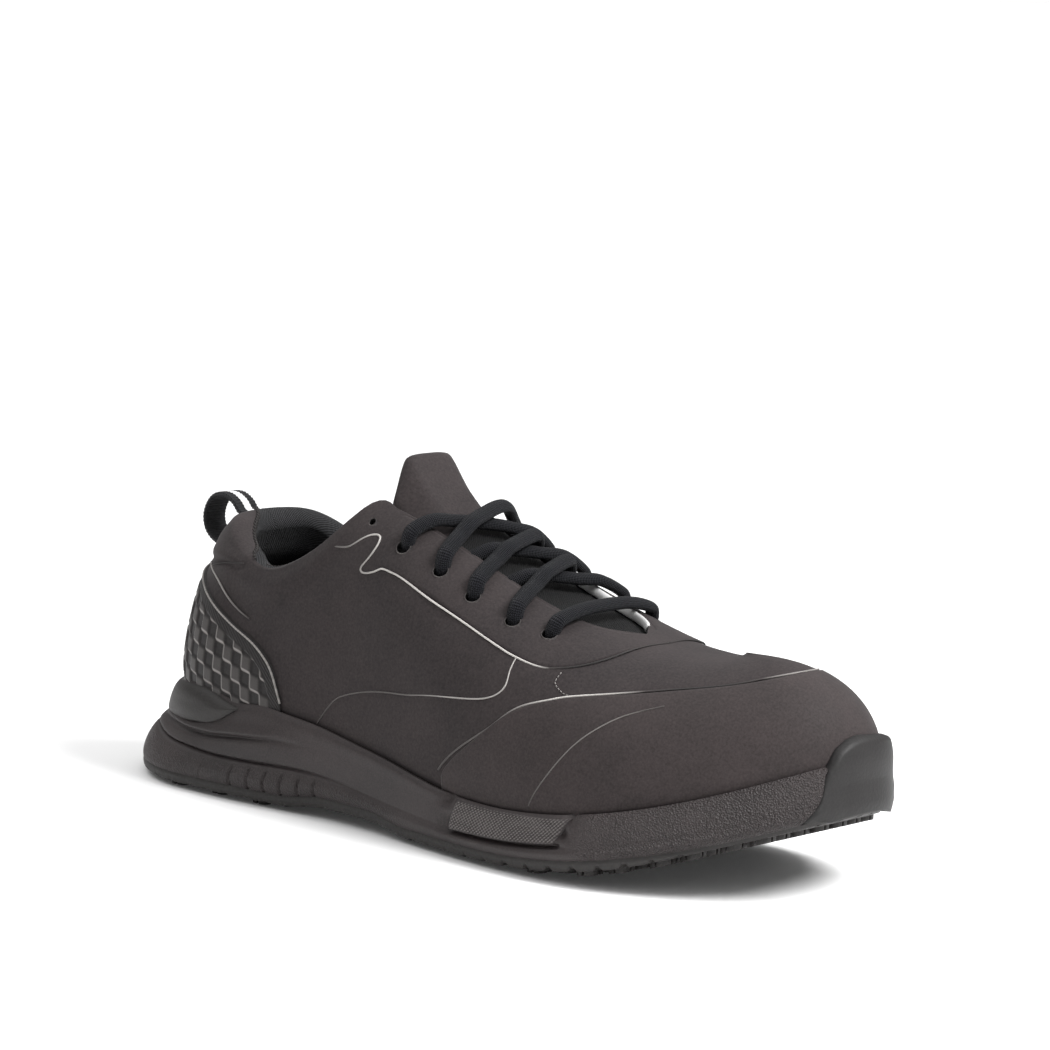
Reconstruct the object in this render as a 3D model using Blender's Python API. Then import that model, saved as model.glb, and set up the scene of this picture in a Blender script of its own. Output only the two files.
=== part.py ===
import math

import bmesh
import bpy
import numpy as np

# Sizes in millimetres: heel back at x = 0, toe at x = LENGTH, lateral side at minus y.
LENGTH = 300.0
SPRING = 25.0
SPRING_FROM = 188.0
HEEL_BEVEL = 4.0
ARCH = 2.2
TOE_SWING = 12.0
HEEL = 16.5
TOE = 294.0
HEEL_FORWARD = 70.0
HEEL_REACH = 72.0
TOE_BACK = 43.0
TOE_REACH = 88.0
TUCK = 2.0
WALL = 2.2
COLLAR_PAD = 4.0
GAP = 0.3
RIM_GAP = 0.45
RIM = 2.6
OVERLAY = 0.9
PLATE_LOW = 1.6
PLATE_TOP = 5.0
SEAM_LOW = 0.893
SEAM_HIGH = 0.920
RIB_DEPTH = 1.1
STATIONS = 38
LEVELS = 7
EYELET_RADIUS = 2.6
LACE_WIDE = 2.9
LOOP_HALF = 5.0
LACE_HIGH = 2.0

# x, lateral half width, medial half width, crest height, section power
LAST = np.array([
    [0, 33, 31.5, 119, 2.0],
    [40, 34.5, 33.5, 119, 2.0],
    [80, 37.2, 34, 119, 2.3],
    [110, 37.5, 32, 113, 2.9],
    [135, 40, 32, 103, 3.3],
    [165, 45, 36, 89, 3.2],
    [195, 48.5, 42, 78, 2.9],
    [225, 49, 45.5, 71, 2.5],
    [250, 46, 46, 70, 2.3],
    [275, 43, 45, 71, 2.3],
    [300, 41, 43, 73, 2.4],
])
# x, lateral half width, medial half width of the sole at its widest
SOLE = np.array([
    [0, 39, 38],
    [30, 42, 40],
    [70, 43.5, 40],
    [115, 41, 34.5],
    [150, 45, 35],
    [180, 50, 40],
    [205, 52.5, 46.5],
    [230, 52.5, 50],
    [260, 48.5, 50.5],
    [280, 46, 49.5],
    [300, 45, 48],
])
# x, footbed height over the ground line
FOOTBED = np.array([[0, 27], [60, 26], [110, 22], [150, 18], [200, 16], [300, 16]])
# x, height of the sole rim over the footbed
BITE = np.array([
    [0, 6.5], [20, 7.6], [42, 9.3], [58, 8.4], [68, 7.4], [78, 8.9], [90, 9.0], [106, 8.8], [122, 8.0],
    [142, 7.2], [172, 4.2], [200, 3.8], [228, 4.2], [266, 5.3], [300, 7],
])
# x, height of the groove over the lower band, groove depth
BAND = np.array([
    [0, 17, 1.8], [17, 16.6, 1.8], [28, 15.2, 1.8], [40, 14.5, 1.8], [50, 14.0, 1.8], [60, 13.8, 1.8],
    [70, 14.0, 1.8], [82, 14.4, 1.7], [94, 14.8, 1.4], [104, 14.8, 1.0], [114, 14.2, 0.6], [124, 13.4, 0.3],
    [150, 11.2, 0.1], [175, 10, 0.0], [300, 10, 0.0],
])
# x, lower and upper edge of the heel clip
CLIP = np.array([
    [0, 22.0, 33.4], [15, 22.2, 34.0], [26, 22.5, 35.4], [35, 22.7, 35.6], [43, 23.3, 34.4], [48, 23.9, 33.2],
    [53, 26.0, 32.2], [57, 28.6, 31.8],
])
# x, lateral opening height, medial opening height
COLLAR = np.array([
    [0, 92, 92],
    [28, 91, 91.5],
    [46, 86, 87],
    [61, 81, 81.5],
    [73, 78.6, 78],
    [89, 84, 81.5],
    [98, 90.3, 88],
    [106, 98.5, 96],
    [113, 105.5, 104],
    [124, 110, 109],
])
# x, half spread of the throat
THROAT = np.array([[112, 20.5], [125, 20], [160, 16], [180, 15], [196, 13.5], [206, 9], [213, 0]])
# x, half spread of the eyelet row
EYELETS = np.array([[117, 26], [134, 28.5], [151, 29], [166, 30], [183, 30], [196, 27.5]])
# x, half spread of the tongue, lift over the throat
TONGUE = np.array([
    [118, 21, 14], [121, 21.5, 12], [126, 22, 9], [134, 22, 4.5], [142, 22, 1.5], [150, 22, 0],
    [160, 22.5, 0], [180, 23.5, 0], [205, 20, 0], [226, 16, 0],
])
# station x, level of the overlay edge on the upper
GUARD = np.array([
    [168, 0.06], [187, 0.175], [198, 0.305], [208, 0.40], [217, 0.47], [232, 0.55], [249, 0.61], [268, 0.65],
    [294, 0.70],
])
# station x, height of the counter edge
COUNTER = np.array([
    [16, 75], [27, 72.5], [44, 66.2], [55, 61.6], [65, 57.8], [73, 54.8], [79.5, 50.8], [84.5, 45],
])
# inner x, inner half spread, outer x, outer level of the eyestay
EYESTAY = np.array([
    [115, 21, 117, 0.44],
    [134, 19.6, 134, 0.47],
    [152, 17.6, 152, 0.50],
    [167, 16.0, 167, 0.51],
    [183, 15.6, 188, 0.51],
    [196, 14.4, 202, 0.53],
    [206, 10.0, 212, 0.62],
    [211, 6.0, 219, 0.78],
    [214, 0.0, 223, 1.0],
])
# first x, last x, rows, inner and outer fraction of the half width for each lug block
LUGS = [
    [16, 94, 4, 0.10, 0.90],
    [150, 266, 6, 0.40, 0.88],
    [146, 266, 6, -0.30, 0.30],
]
FLEX_GROOVE = 4.5


def spline(table, column):
    xs = table[:, 0].astype(float)
    ys = table[:, column].astype(float)
    n = len(xs)
    h = np.diff(xs)
    m = np.eye(n)
    r = np.zeros(n)
    for i in range(1, n - 1):
        m[i, i - 1:i + 2] = h[i - 1], 2 * (h[i - 1] + h[i]), h[i]
        r[i] = 6 * ((ys[i + 1] - ys[i]) / h[i] - (ys[i] - ys[i - 1]) / h[i - 1])
    k = np.linalg.solve(m, r)

    def value(x):
        x = min(max(float(x), xs[0]), xs[-1])
        i = min(max(int(np.searchsorted(xs, x)) - 1, 0), n - 2)
        a = xs[i + 1] - x
        b = x - xs[i]
        d = h[i]
        bend = (k[i] * a ** 3 + k[i + 1] * b ** 3) / (6 * d)
        return bend + (ys[i] / d - k[i] * d / 6) * a + (ys[i + 1] / d - k[i + 1] * d / 6) * b
    return value


last_width = {-1: spline(LAST, 1), 1: spline(LAST, 2)}
crest_at = spline(LAST, 3)
power_at = spline(LAST, 4)
sole_width = {-1: spline(SOLE, 1), 1: spline(SOLE, 2)}
bed_at = spline(FOOTBED, 1)
bite_at = spline(BITE, 1)
band_at = spline(BAND, 1)
groove_at = spline(BAND, 2)
collar_at = {-1: spline(COLLAR, 1), 1: spline(COLLAR, 2)}
throat_at = spline(THROAT, 1)
tongue_at = spline(TONGUE, 1)
tongue_lift = spline(TONGUE, 2)


def clamp(v, low=0.0, high=1.0):
    return min(max(v, low), high)


def smooth(v):
    v = clamp(v)
    return v * v * (3 - 2 * v)


def ground(x):
    rise = SPRING * clamp((x - SPRING_FROM) / (LENGTH - SPRING_FROM), 0, 1.2) ** 2
    return rise + HEEL_BEVEL * clamp((16 - x) / 16) ** 2


def arch(x):
    return ARCH * smooth((x - 92) / 18) * smooth((152 - x) / 18)


def footbed(x):
    return bed_at(x) + ground(max(x, 20))


def axis(x):
    return TOE_SWING * clamp((x - 120) / 180, 0, 1.2) ** 2


def rounded(x, heel, toe, rh, rt, nh, nt):
    a = clamp((heel + rh - x) / rh)
    b = clamp((x - toe + rt) / rt)
    return (1 - a ** nh) ** (1 / nh) * (1 - b ** nt) ** (1 / nt)


def along(s):
    return (1 - math.cos(math.pi * s)) / 2


def last_x(s):
    return HEEL + (TOE - HEEL) * along(s)


def station(x):
    return math.acos(1 - 2 * clamp((x - HEEL) / (TOE - HEEL))) / math.pi


def wrap(q):
    q = (q + 1) % 2 - 1
    return abs(q), -1 if q < 0 else 1


def feather(s, side):
    x = last_x(s)
    w = last_width[side](x) * rounded(x, HEEL, TOE, 38, 84, 2.1, 2.35)
    return x, axis(x) + side * w


def sole_edge(s, side):
    x = LENGTH * along(s)
    w = sole_width[side](x) * rounded(x, 0, LENGTH, 44, 86, 2.15, 2.35)
    return x, axis(x) + side * w


def crest(s):
    x = last_x(s)
    xc = x + HEEL_FORWARD * clamp(1 - (x - HEEL) / HEEL_REACH) ** 2
    xc = xc - TOE_BACK * clamp((x - TOE + TOE_REACH) / TOE_REACH) ** 2
    return xc, axis(xc), crest_at(x)


def upper_at(q, a):
    s, side = wrap(q)
    f = feather(s, side)
    c = crest(s)
    n = power_at(f[0])
    z0 = footbed(f[0])
    phi = clamp(a) * math.pi / 2
    h = math.sin(phi) ** (2 / n)
    g = 1 - max(math.cos(phi), 0) ** (2 / n) + TUCK / 40 * clamp(1 - h / 0.22) ** 2
    return np.array([f[0] + (c[0] - f[0]) * g, f[1] + (c[1] - f[1]) * g, z0 + (c[2] - z0) * h])


def upper_normal(q, a):
    lo = max(a - 0.004, 0.0)
    hi = min(a + 0.004, 1.0)
    if hi == 1.0:
        lo = 0.97
    da = upper_at(q, hi) - upper_at(q, lo)
    dq = upper_at(q + 0.003, a) - upper_at(q - 0.003, a)
    n = np.cross(da, dq)
    if a > 0.999:
        n = n / np.linalg.norm(n)
        db = upper_at(-q, hi) - upper_at(-q, lo)
        dr = upper_at(-q + 0.003, a) - upper_at(-q - 0.003, a)
        m = np.cross(db, dr)
        n = n + m / np.linalg.norm(m)
    return n / np.linalg.norm(n)


def skin(q, a, off):
    return upper_at(q, a) + off * upper_normal(q, a)


def at_height(s, z):
    x = last_x(s)
    h = clamp((z - footbed(x)) / (crest_at(x) - footbed(x)))
    return math.asin(h ** (power_at(x) / 2)) * 2 / math.pi


def at_spread(s, side, half):
    f = feather(s, side)
    k = clamp(half / max(abs(f[1] - crest(s)[1]), 0.001))
    return math.acos(k ** (power_at(f[0]) / 2)) * 2 / math.pi


def opening(q):
    s, side = wrap(q)
    x = last_x(s)
    if x > THROAT[-1, 0] - 0.01:
        return 1.0
    back = at_height(s, collar_at[side](x))
    front = at_spread(s, side, max(throat_at(x), 0.0))
    k = smooth((x - 108) / 14)
    return back * (1 - k) + front * k


def outward(q):
    ahead = np.array(sole_edge(*wrap(q + 0.004)))
    behind = np.array(sole_edge(*wrap(q - 0.004)))
    d = ahead - behind
    n = np.array([-d[1], d[0]])
    return n / np.linalg.norm(n)


def sole_point(q, off, z):
    p = np.array(sole_edge(*wrap(q))) + off * outward(q)
    return np.array([p[0], p[1], z])


def low_point(q, off, up):
    p = sole_point(q, off, 0.0)
    p[2] = ground(p[0]) + arch(p[0]) + up
    return p


def beside_upper(q, off, z):
    s = wrap(q)[0]
    p = upper_at(q, at_height(s, max(z, footbed(last_x(s)))))
    p[:2] += off * outward(q)
    p[2] = z
    return p


# The scene starts empty.
for old in list(bpy.data.objects):
    bpy.data.objects.remove(old, do_unlink=True)

# name: colour, roughness
FINISH = {
    "outsole_rubber": ((0.030, 0.029, 0.028), 0.75),
    "midsole_foam": ((0.040, 0.038, 0.036), 0.70),
    "upper_microfibre": ((0.035, 0.032, 0.030), 0.85),
    "overlay_film": ((0.038, 0.035, 0.033), 0.70),
    "lining_textile": ((0.015, 0.015, 0.016), 0.95),
    "lace_textile": ((0.012, 0.013, 0.018), 0.90),
}
materials = {}
for label, (colour, rough) in FINISH.items():
    material = bpy.data.materials.new(label)
    material.use_nodes = True
    shader = material.node_tree.nodes["Principled BSDF"]
    shader.inputs["Base Color"].default_value = (*colour, 1.0)
    shader.inputs["Roughness"].default_value = rough
    materials[label] = material

made = []


def solid(name, points, faces, label):
    mesh = bpy.data.meshes.new(name)
    mesh.from_pydata([tuple(float(v) * 0.001 for v in p) for p in points], [], faces)
    bm = bmesh.new()
    bm.from_mesh(mesh)
    bmesh.ops.triangulate(bm, faces=bm.faces[:])
    bmesh.ops.recalc_face_normals(bm, faces=bm.faces[:])
    bm.to_mesh(mesh)
    bm.free()
    mesh.materials.append(materials[label])
    body = bpy.data.objects.new(name, mesh)
    bpy.context.scene.collection.objects.link(body)
    made.append(body)
    return body


def boolean(body, other, operation):
    step = body.modifiers.new("step", "BOOLEAN")
    step.operation = operation
    step.solver = "EXACT"
    step.object = other
    bpy.context.view_layer.update()
    result = bpy.data.meshes.new_from_object(body.evaluated_get(bpy.context.evaluated_depsgraph_get()))
    body.modifiers.clear()
    bm = bmesh.new()
    bm.from_mesh(result)
    bmesh.ops.remove_doubles(bm, verts=bm.verts[:], dist=0.00002)
    bmesh.ops.dissolve_degenerate(bm, edges=bm.edges[:], dist=0.00001)
    bmesh.ops.triangulate(bm, faces=bm.faces[:])
    bm.to_mesh(body.data)
    bm.free()
    if other in made:
        made.remove(other)
    bpy.data.objects.remove(other, do_unlink=True)


def ring_solid(name, rows, label):
    count = len(rows[0])
    half = count // 2
    points = [p for row in rows for p in row]
    faces = []
    for r in range(len(rows) - 1):
        for i in range(count):
            j = (i + 1) % count
            faces.append((r * count + i, r * count + j, (r + 1) * count + j, (r + 1) * count + i))
    for base in (0, (len(rows) - 1) * count):
        for i in range(half):
            loop = [base + i, base + i + 1, base + (count - i - 1) % count, base + (count - i) % count]
            faces.append(tuple(dict.fromkeys(loop)))
    return solid(name, points, faces, label)


def shell(name, outer, inner, label):
    ni = len(outer)
    nj = len(outer[0])
    points = [p for row in outer for p in row] + [p for row in inner for p in row]
    shift = ni * nj
    faces = []
    for i in range(ni - 1):
        for j in range(nj - 1):
            a = i * nj + j
            faces.append((a, a + nj, a + nj + 1, a + 1))
            faces.append((a + shift, a + 1 + shift, a + nj + 1 + shift, a + nj + shift))
        for j in (0, nj - 1):
            a = i * nj + j
            faces.append((a, a + nj, a + nj + shift, a + shift))
    for i in (0, ni - 1):
        for j in range(nj - 1):
            a = i * nj + j
            faces.append((a, a + 1, a + 1 + shift, a + shift))
    return solid(name, points, faces, label)


def tube(name, path, ups, label, sides=6):
    points = []
    faces = []
    count = len(path)
    for i in range(count):
        t = path[min(i + 1, count - 1)] - path[max(i - 1, 0)]
        t = t / np.linalg.norm(t)
        w = np.cross(t, ups[i])
        w = w / np.linalg.norm(w)
        u = np.cross(w, t)
        for k in range(sides):
            f = 2 * math.pi * (k + 0.5) / sides
            points.append(path[i] + w * LACE_WIDE * math.cos(f) + u * LACE_HIGH * math.sin(f))
    for i in range(count - 1):
        for k in range(sides):
            m = (k + 1) % sides
            faces.append((i * sides + k, i * sides + m, (i + 1) * sides + m, (i + 1) * sides + k))
    faces.append(tuple(range(sides)))
    faces.append(tuple(range((count - 1) * sides, count * sides)))
    return solid(name, points, faces, label)


def patch(name, qs, low, high, count, label, near=RIM_GAP, far=RIM_GAP + OVERLAY):
    outer = []
    inner = []
    for q in qs:
        rows = [low(q) + (high(q) - low(q)) * j / count for j in range(count + 1)]
        outer.append([skin(q, a, far) for a in rows])
        inner.append([skin(q, a, near) for a in rows])
    return shell(name, outer, inner, label)


# Stations from heel to toe, with one on the throat end
stations = [i / STATIONS for i in range(STATIONS + 1)]
throat_s = station(THROAT[-1, 0])
nearest = min(range(STATIONS + 1), key=lambda i: abs(stations[i] - throat_s))
stations[nearest] = throat_s
seam_s = 0.5 * (SEAM_LOW + SEAM_HIGH)
sole_stations = sorted([s for s in stations if abs(s - seam_s) > 0.008] + [seam_s - 0.003, seam_s + 0.003])


def around(values):
    return [-s for s in values] + values[-2:0:-1]


def rim_top(q):
    x = last_x(wrap(q)[0])
    return footbed(x) + bite_at(x)


def rib(x):
    wave = 0.5 - 0.5 * math.cos(2 * math.pi * (x - 68) / 50 * 7)
    return RIB_DEPTH * wave * smooth((x - 68) / 8) * smooth((118 - x) / 8)


def wall_rows(q):
    s = wrap(q)[0]
    x = LENGTH * along(s)
    bottom = ground(x) + arch(x) + PLATE_TOP + GAP
    band = ground(max(x, 20)) + band_at(x)
    depth = groove_at(x)
    top = rim_top(q)
    heel = smooth((90 - x) / 75)
    flare = smooth((150 - x) / 60) * (1 - heel)
    rows = [
        low_point(q, -1.4 + 1.2 * heel, PLATE_TOP + GAP),
        sole_point(q, -0.5 + 0.3 * heel + 0.5 * flare - rib(x), bottom + 0.2 * (band - bottom)),
        sole_point(q, flare - 1.5 * heel - rib(x), bottom + 0.55 * (band - bottom)),
        sole_point(q, -0.3 + 0.6 * flare - 0.4 * depth - 3.2 * heel, band - 0.7),
        sole_point(q, -0.5 - depth - 4.2 * heel, band + 0.3),
        sole_point(q, -0.5 - 0.4 * depth - 4.6 * heel, band + 1.4),
    ]
    edge = sole_point(q, -0.5 - 5.5 * heel, band + 1.4)
    rim = beside_upper(q, RIM - heel, top)
    for v in (0.3, 0.6, 0.86):
        p = edge + (rim - edge) * v ** (1.4 - 0.85 * heel)
        p[2] = edge[2] + (top - edge[2]) * v
        rows.append(p)
    rows.append(beside_upper(q, RIM - 0.9 - 0.7 * heel, top))
    return rows


def side_at(q, z, off):
    rows = wall_rows(q)
    k = 0
    while k < len(rows) - 2 and rows[k + 1][2] < z:
        k += 1
    v = clamp((z - rows[k][2]) / (rows[k + 1][2] - rows[k][2]))
    p = rows[k] + (rows[k + 1] - rows[k]) * v
    p[:2] += off * outward(q)
    return p


def midsole_profile(q):
    s = wrap(q)[0]
    floor = footbed(last_x(s))
    bottom = ground(last_x(s)) + PLATE_TOP + GAP
    if s > seam_s:
        return [beside_upper(q, 0.0, bottom + (floor - bottom) * k / 13) for k in range(14)]
    top = rim_top(q)
    inside = [beside_upper(q, RIM_GAP, top - 0.3)]
    for v in (0.6, 0.3, 0.0):
        inside.append(beside_upper(q, RIM_GAP, floor + v * (top - floor)))
    return wall_rows(q) + inside


# Midsole with footbed, rim, groove and ribs
profiles = [midsole_profile(q) for q in around(sole_stations)]
ring_solid("midsole", [[p[k] for p in profiles] for k in range(14)], "midsole_foam")

# Outsole plate and lugs in one moulding
plate = [[], [], [], []]
for q in around(sole_stations):
    s = wrap(q)[0]
    toe = 11.0 * smooth((s - 0.74) / 0.22) - 1.2 * smooth((90 - LENGTH * along(s)) / 75)
    plate[0].append(low_point(q, -5.0 - toe, PLATE_LOW))
    plate[1].append(low_point(q, -2.0 - toe, PLATE_LOW + 0.3))
    plate[2].append(low_point(q, -1.3 - toe, PLATE_TOP - 0.9))
    plate[3].append(low_point(q, -1.7 - toe, PLATE_TOP))
outsole = ring_solid("outsole", plate, "outsole_rubber")
lug_points = []
lug_faces = []
for first, final, rows, inner, outer in LUGS:
    pitch = (final - first) / rows
    sides = (-1, 1) if inner > 0 else (1,)
    for side in sides:
        for k in range(rows):
            base = len(lug_points)
            x0 = first + pitch * k
            x1 = x0 + pitch - FLEX_GROOVE
            for x in (x0, x1):
                for f in (inner, outer):
                    w = sole_width[side if f > 0 else -side](x) * rounded(x, 0, LENGTH, 44, 86, 2.15, 2.35)
                    y = axis(x) + side * f * w
                    lug_points.append((x, y, ground(x)))
                    lug_points.append((x, y, ground(x) + arch(x) + PLATE_LOW + 1.0))
            for loop in ((0, 2, 6, 4), (1, 5, 7, 3), (0, 1, 3, 2), (4, 6, 7, 5), (0, 4, 5, 1), (2, 3, 7, 6)):
                lug_faces.append(tuple(base + v for v in loop))
lugs = solid("lugs", lug_points, lug_faces, "outsole_rubber")
boolean(outsole, lugs, "UNION")

# Toe bumper between the two seams
outer = []
inner = []
turns = 14
for i in range(turns + 1):
    outer.append([])
    inner.append([])
    for j in range(7):
        v = j / 6
        seam = SEAM_LOW + (SEAM_HIGH - SEAM_LOW) * v
        start = max(seam, seam_s + 0.006)
        q = -start - (2 - 2 * start) * i / turns
        s = wrap(q)[0]
        low = ground(LENGTH * along(s)) + PLATE_TOP + GAP
        top = rim_top(q) + 5.5 * smooth((s - start) / 0.05)
        z = low + (top - low) * v
        off = (-5.0, -1.6, -0.2, 0.0)
        if j < 4:
            outer[i].append(sole_point(q, off[j], z))
        else:
            edge = sole_point(q, 0.0, z)
            rim = beside_upper(q, 1.6, z)
            outer[i].append(edge + (rim - edge) * (0.35, 0.75, 1.0)[j - 4])
        inner[i].append(beside_upper(q, RIM_GAP, z))
shell("toe_bumper", outer, inner, "outsole_rubber")

# Heel clip on the rear of the rim and ribbed inserts on the forefoot wall
clip_low = spline(CLIP, 1)
clip_high = spline(CLIP, 2)
clip = sorted([q for q in around(sole_stations) if LENGTH * along(abs(q)) < CLIP[-1, 0]])
clip_end = math.acos(1 - 2 * CLIP[-1, 0] / LENGTH) / math.pi
clip = [-clip_end] + clip + [clip_end]
outer = []
inner = []
for q in clip:
    x = LENGTH * along(abs(q))
    low = clip_low(x)
    high = min(clip_high(x), rim_top(q) - 0.5)
    levels = [low + (high - low) * j / 4 for j in range(5)]
    swell = 1.6 * smooth((high - low) / 8.0)
    lift = [0.8 + swell * math.sin(math.pi * (0.1 + 0.8 * j / 4)) for j in range(5)]
    outer.append([side_at(q, z, up) for z, up in zip(levels, lift)])
    inner.append([side_at(q, z, 0.4) for z in levels])
shell("heel_clip", outer, inner, "midsole_foam")
for side, label in ((-1, "lateral"), (1, "medial")):
    outer = []
    inner = []
    spans = [s for s in sole_stations if 172 < LENGTH * along(s) < 230]
    for s in spans:
        q = side * s
        x = LENGTH * along(s)
        low = ground(x) + 8.8
        high = rim_top(q) - 1.6
        levels = [low + (high - low) * j / 3 for j in range(4)]
        outer.append([side_at(q, z, 1.1) for z in levels])
        inner.append([side_at(q, z, 0.4) for z in levels])
    shell("side_insert_" + label, outer, inner, "midsole_foam")

# Hollow upper
def wall_at(q, f):
    x = last_x(wrap(q)[0])
    return WALL + COLLAR_PAD * smooth((112 - x) / 18) * smooth((f - 0.5) / 0.35)


points = []
faces = []
index = {}


def corner(layer, q, j):
    s, side = wrap(q)
    top = opening(q)
    lone = s in (0.0, 1.0) or (j >= LEVELS and top == 1.0)
    key = (layer, s, 0 if lone else side, j)
    if key not in index:
        f = min(j, LEVELS) / LEVELS
        a = top * f
        if layer == "rim":
            p = 0.5 * (skin(q, a, 0.0) + skin(q, a, -wall_at(q, f)))
            p = p + 0.22 * wall_at(q, f) * np.array([0.0, 0.0, 1.0])
        else:
            p = skin(q, a, -wall_at(q, f) if layer == "inner" else 0.0)
        if j == 0:
            p[2] = footbed(last_x(s)) + GAP
        index[key] = len(points)
        points.append(p)
    return index[key]


loop = around(stations)
for i, q in enumerate(loop):
    r = loop[(i + 1) % len(loop)]
    for j in range(LEVELS):
        for layer in ("outer", "inner"):
            near = [corner(layer, q, j), corner(layer, r, j)]
            quad = near + [corner(layer, r, j + 1), corner(layer, q, j + 1)]
            faces.append(tuple(dict.fromkeys(quad)))
    faces.append((corner("outer", q, 0), corner("outer", r, 0), corner("inner", r, 0), corner("inner", q, 0)))
    if opening(q) < 1.0 or opening(r) < 1.0:
        for one, two in (("outer", "rim"), ("rim", "inner")):
            n = LEVELS
            faces.append((corner(one, q, n), corner(one, r, n), corner(two, r, n), corner(two, q, n)))
upper = solid("upper", points, faces, "upper_microfibre")

# Overlays cut from the upper's own function
guard_at = spline(GUARD, 1)
counter_at = spline(COUNTER, 1)


def above_rim(q):
    s = wrap(q)[0]
    extra = 6.2 * smooth((s - SEAM_LOW + 0.01) / 0.06)
    return at_height(s, rim_top(q) + extra + 0.8)


guard_s = [station(174)] + [s for s in stations if s > station(176)]
guard = [-s for s in guard_s] + guard_s[-2::-1]
guard = [q if q <= 0 else q - 2 for q in guard]
guard_top = lambda q: max(guard_at(last_x(wrap(q)[0])), above_rim(q) + 0.05)
patch("toe_guard", guard, above_rim, guard_top, 4, "overlay_film")
rear = sorted([q for q in around(stations) if last_x(abs(q)) < 82])
patch("counter", rear, above_rim, lambda q: at_height(abs(q), counter_at(last_x(abs(q)))), 4, "overlay_film")
edges = [spline(np.column_stack([np.arange(len(EYESTAY)), EYESTAY[:, k]]), 1) for k in range(4)]
outer = []
inner = []
steps = 32
for i in range(steps + 1):
    k = (len(EYESTAY) - 1) * (1 - abs(2 * i / steps - 1))
    side = -1 if i <= steps / 2 else 1
    x0, half, x1, level = [edge(k) for edge in edges]
    a0 = at_spread(station(x0), side, max(half, 0.0))
    outer.append([])
    inner.append([])
    for j in range(4):
        q = side * station(x1 + (x0 - x1) * j / 3)
        a = min(level + (a0 - level) * j / 3, 1.0)
        if i == steps // 2:
            a = 1.0
        outer[i].append(skin(q, a, RIM_GAP + OVERLAY))
        inner[i].append(skin(q, a, RIM_GAP))
eyestay = shell("eyestay", outer, inner, "overlay_film")


# Eyelet holes
def eyelet(k, side):
    s = station(EYELETS[k, 0])
    return side * s, at_spread(s, side, EYELETS[k, 1] - (3.0 if side > 0 else 0.0))


def punches(name):
    pins = []
    loops = []
    for side in (-1, 1):
        for k in range(len(EYELETS)):
            q, a = eyelet(k, side)
            n = upper_normal(q, a)
            t = np.cross(n, (0, 0, 1.0))
            t = t / np.linalg.norm(t)
            b = np.cross(n, t)
            base = len(pins)
            for depth in (-5.0, 4.0):
                for m in range(8):
                    f = 2 * math.pi * m / 8
                    spot = t * math.cos(f) + b * math.sin(f)
                    pins.append(upper_at(q, a) + n * depth + EYELET_RADIUS * spot)
            for m in range(8):
                w = (m + 1) % 8
                loops.append((base + m, base + w, base + 8 + w, base + 8 + m))
            loops.append(tuple(range(base, base + 8)))
            loops.append(tuple(range(base + 8, base + 16)))
    return solid(name, pins, loops, "overlay_film")


boolean(upper, punches("upper_punch"), "DIFFERENCE")
boolean(eyestay, punches("eyestay_punch"), "DIFFERENCE")

# Tongue under the throat
outer = []
inner = []
count = 20
for i in range(count + 1):
    x = 118 + (226 - 118) * i / count
    s = station(x)
    half = tongue_at(x)
    rise = tongue_lift(x)
    outer.append([])
    inner.append([])
    for j in range(9):
        y = half * (j / 4 - 1)
        side = -1 if y <= 0 else 1
        a = at_spread(s, side, abs(y)) if abs(y) > 0.01 else 1.0
        bell = smooth((throat_at(x) - 0.5 - abs(y)) / 10)
        up = np.array([0.0, 0.0, rise * bell])
        outer[i].append(skin(side * s, a, -WALL - 0.7) + up)
        inner[i].append(skin(side * s, a, -WALL - 4.2 + 0.8 * abs(y) / half) + up)
shell("tongue", outer, inner, "upper_microfibre")

# Insole on the footbed
rows = [[], [], []]
for q in around(stations):
    s = wrap(q)[0]
    floor = footbed(last_x(s))
    n = upper_normal(q, 0.02)
    n[2] = 0
    n = n / np.linalg.norm(n)
    base = upper_at(q, 0.0)
    for k, (off, up) in enumerate(((WALL + 0.9, 0.4), (WALL + 0.7, 2.6), (WALL + 1.6, 4.2))):
        p = base - n * off
        p[2] = floor + up
        rows[k].append(p)
ring_solid("insole", rows, "lining_textile")


# Pull loop at the heel
def back(z, off):
    return skin(0.0, at_height(0.0, z), off)


crown = back(92, 0.0)
path = [
    back(77.0, 1.4),
    back(79.5, 2.6),
    crown + np.array([-17.6, 0, -9.4]),
    crown + np.array([-21.9, 0, -5.4]),
    crown + np.array([-22.2, 0, -0.6]),
    crown + np.array([-19.0, 0, 3.6]),
    crown + np.array([-13.8, 0, 5.2]),
    crown + np.array([-8.8, 0, 3.9]),
    crown + np.array([-5.2, 0, 1.2]),
    back(90.0, 2.2),
    back(87.5, 1.4),
]
outer = []
inner = []
for i, p in enumerate(path):
    t = path[min(i + 1, len(path) - 1)] - path[max(i - 1, 0)]
    n = np.array([-t[2], 0, t[0]]) / np.linalg.norm(t)
    outer.append([p + n * 0.9 + np.array([0, y, 0]) for y in (-LOOP_HALF, 0.0, LOOP_HALF)])
    inner.append([p - n * 0.9 + np.array([0, y, 0]) for y in (-LOOP_HALF, 0.0, LOOP_HALF)])
shell("pull_loop", outer, inner, "lace_textile")


# Lace bar and crossings
def over(x, y, off):
    side = -1 if y <= 0 else 1
    s = station(x)
    a = at_spread(s, side, abs(y)) if abs(y) > 0.2 else 1.0
    return skin(side * s, a, off), upper_normal(side * s, a)


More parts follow.
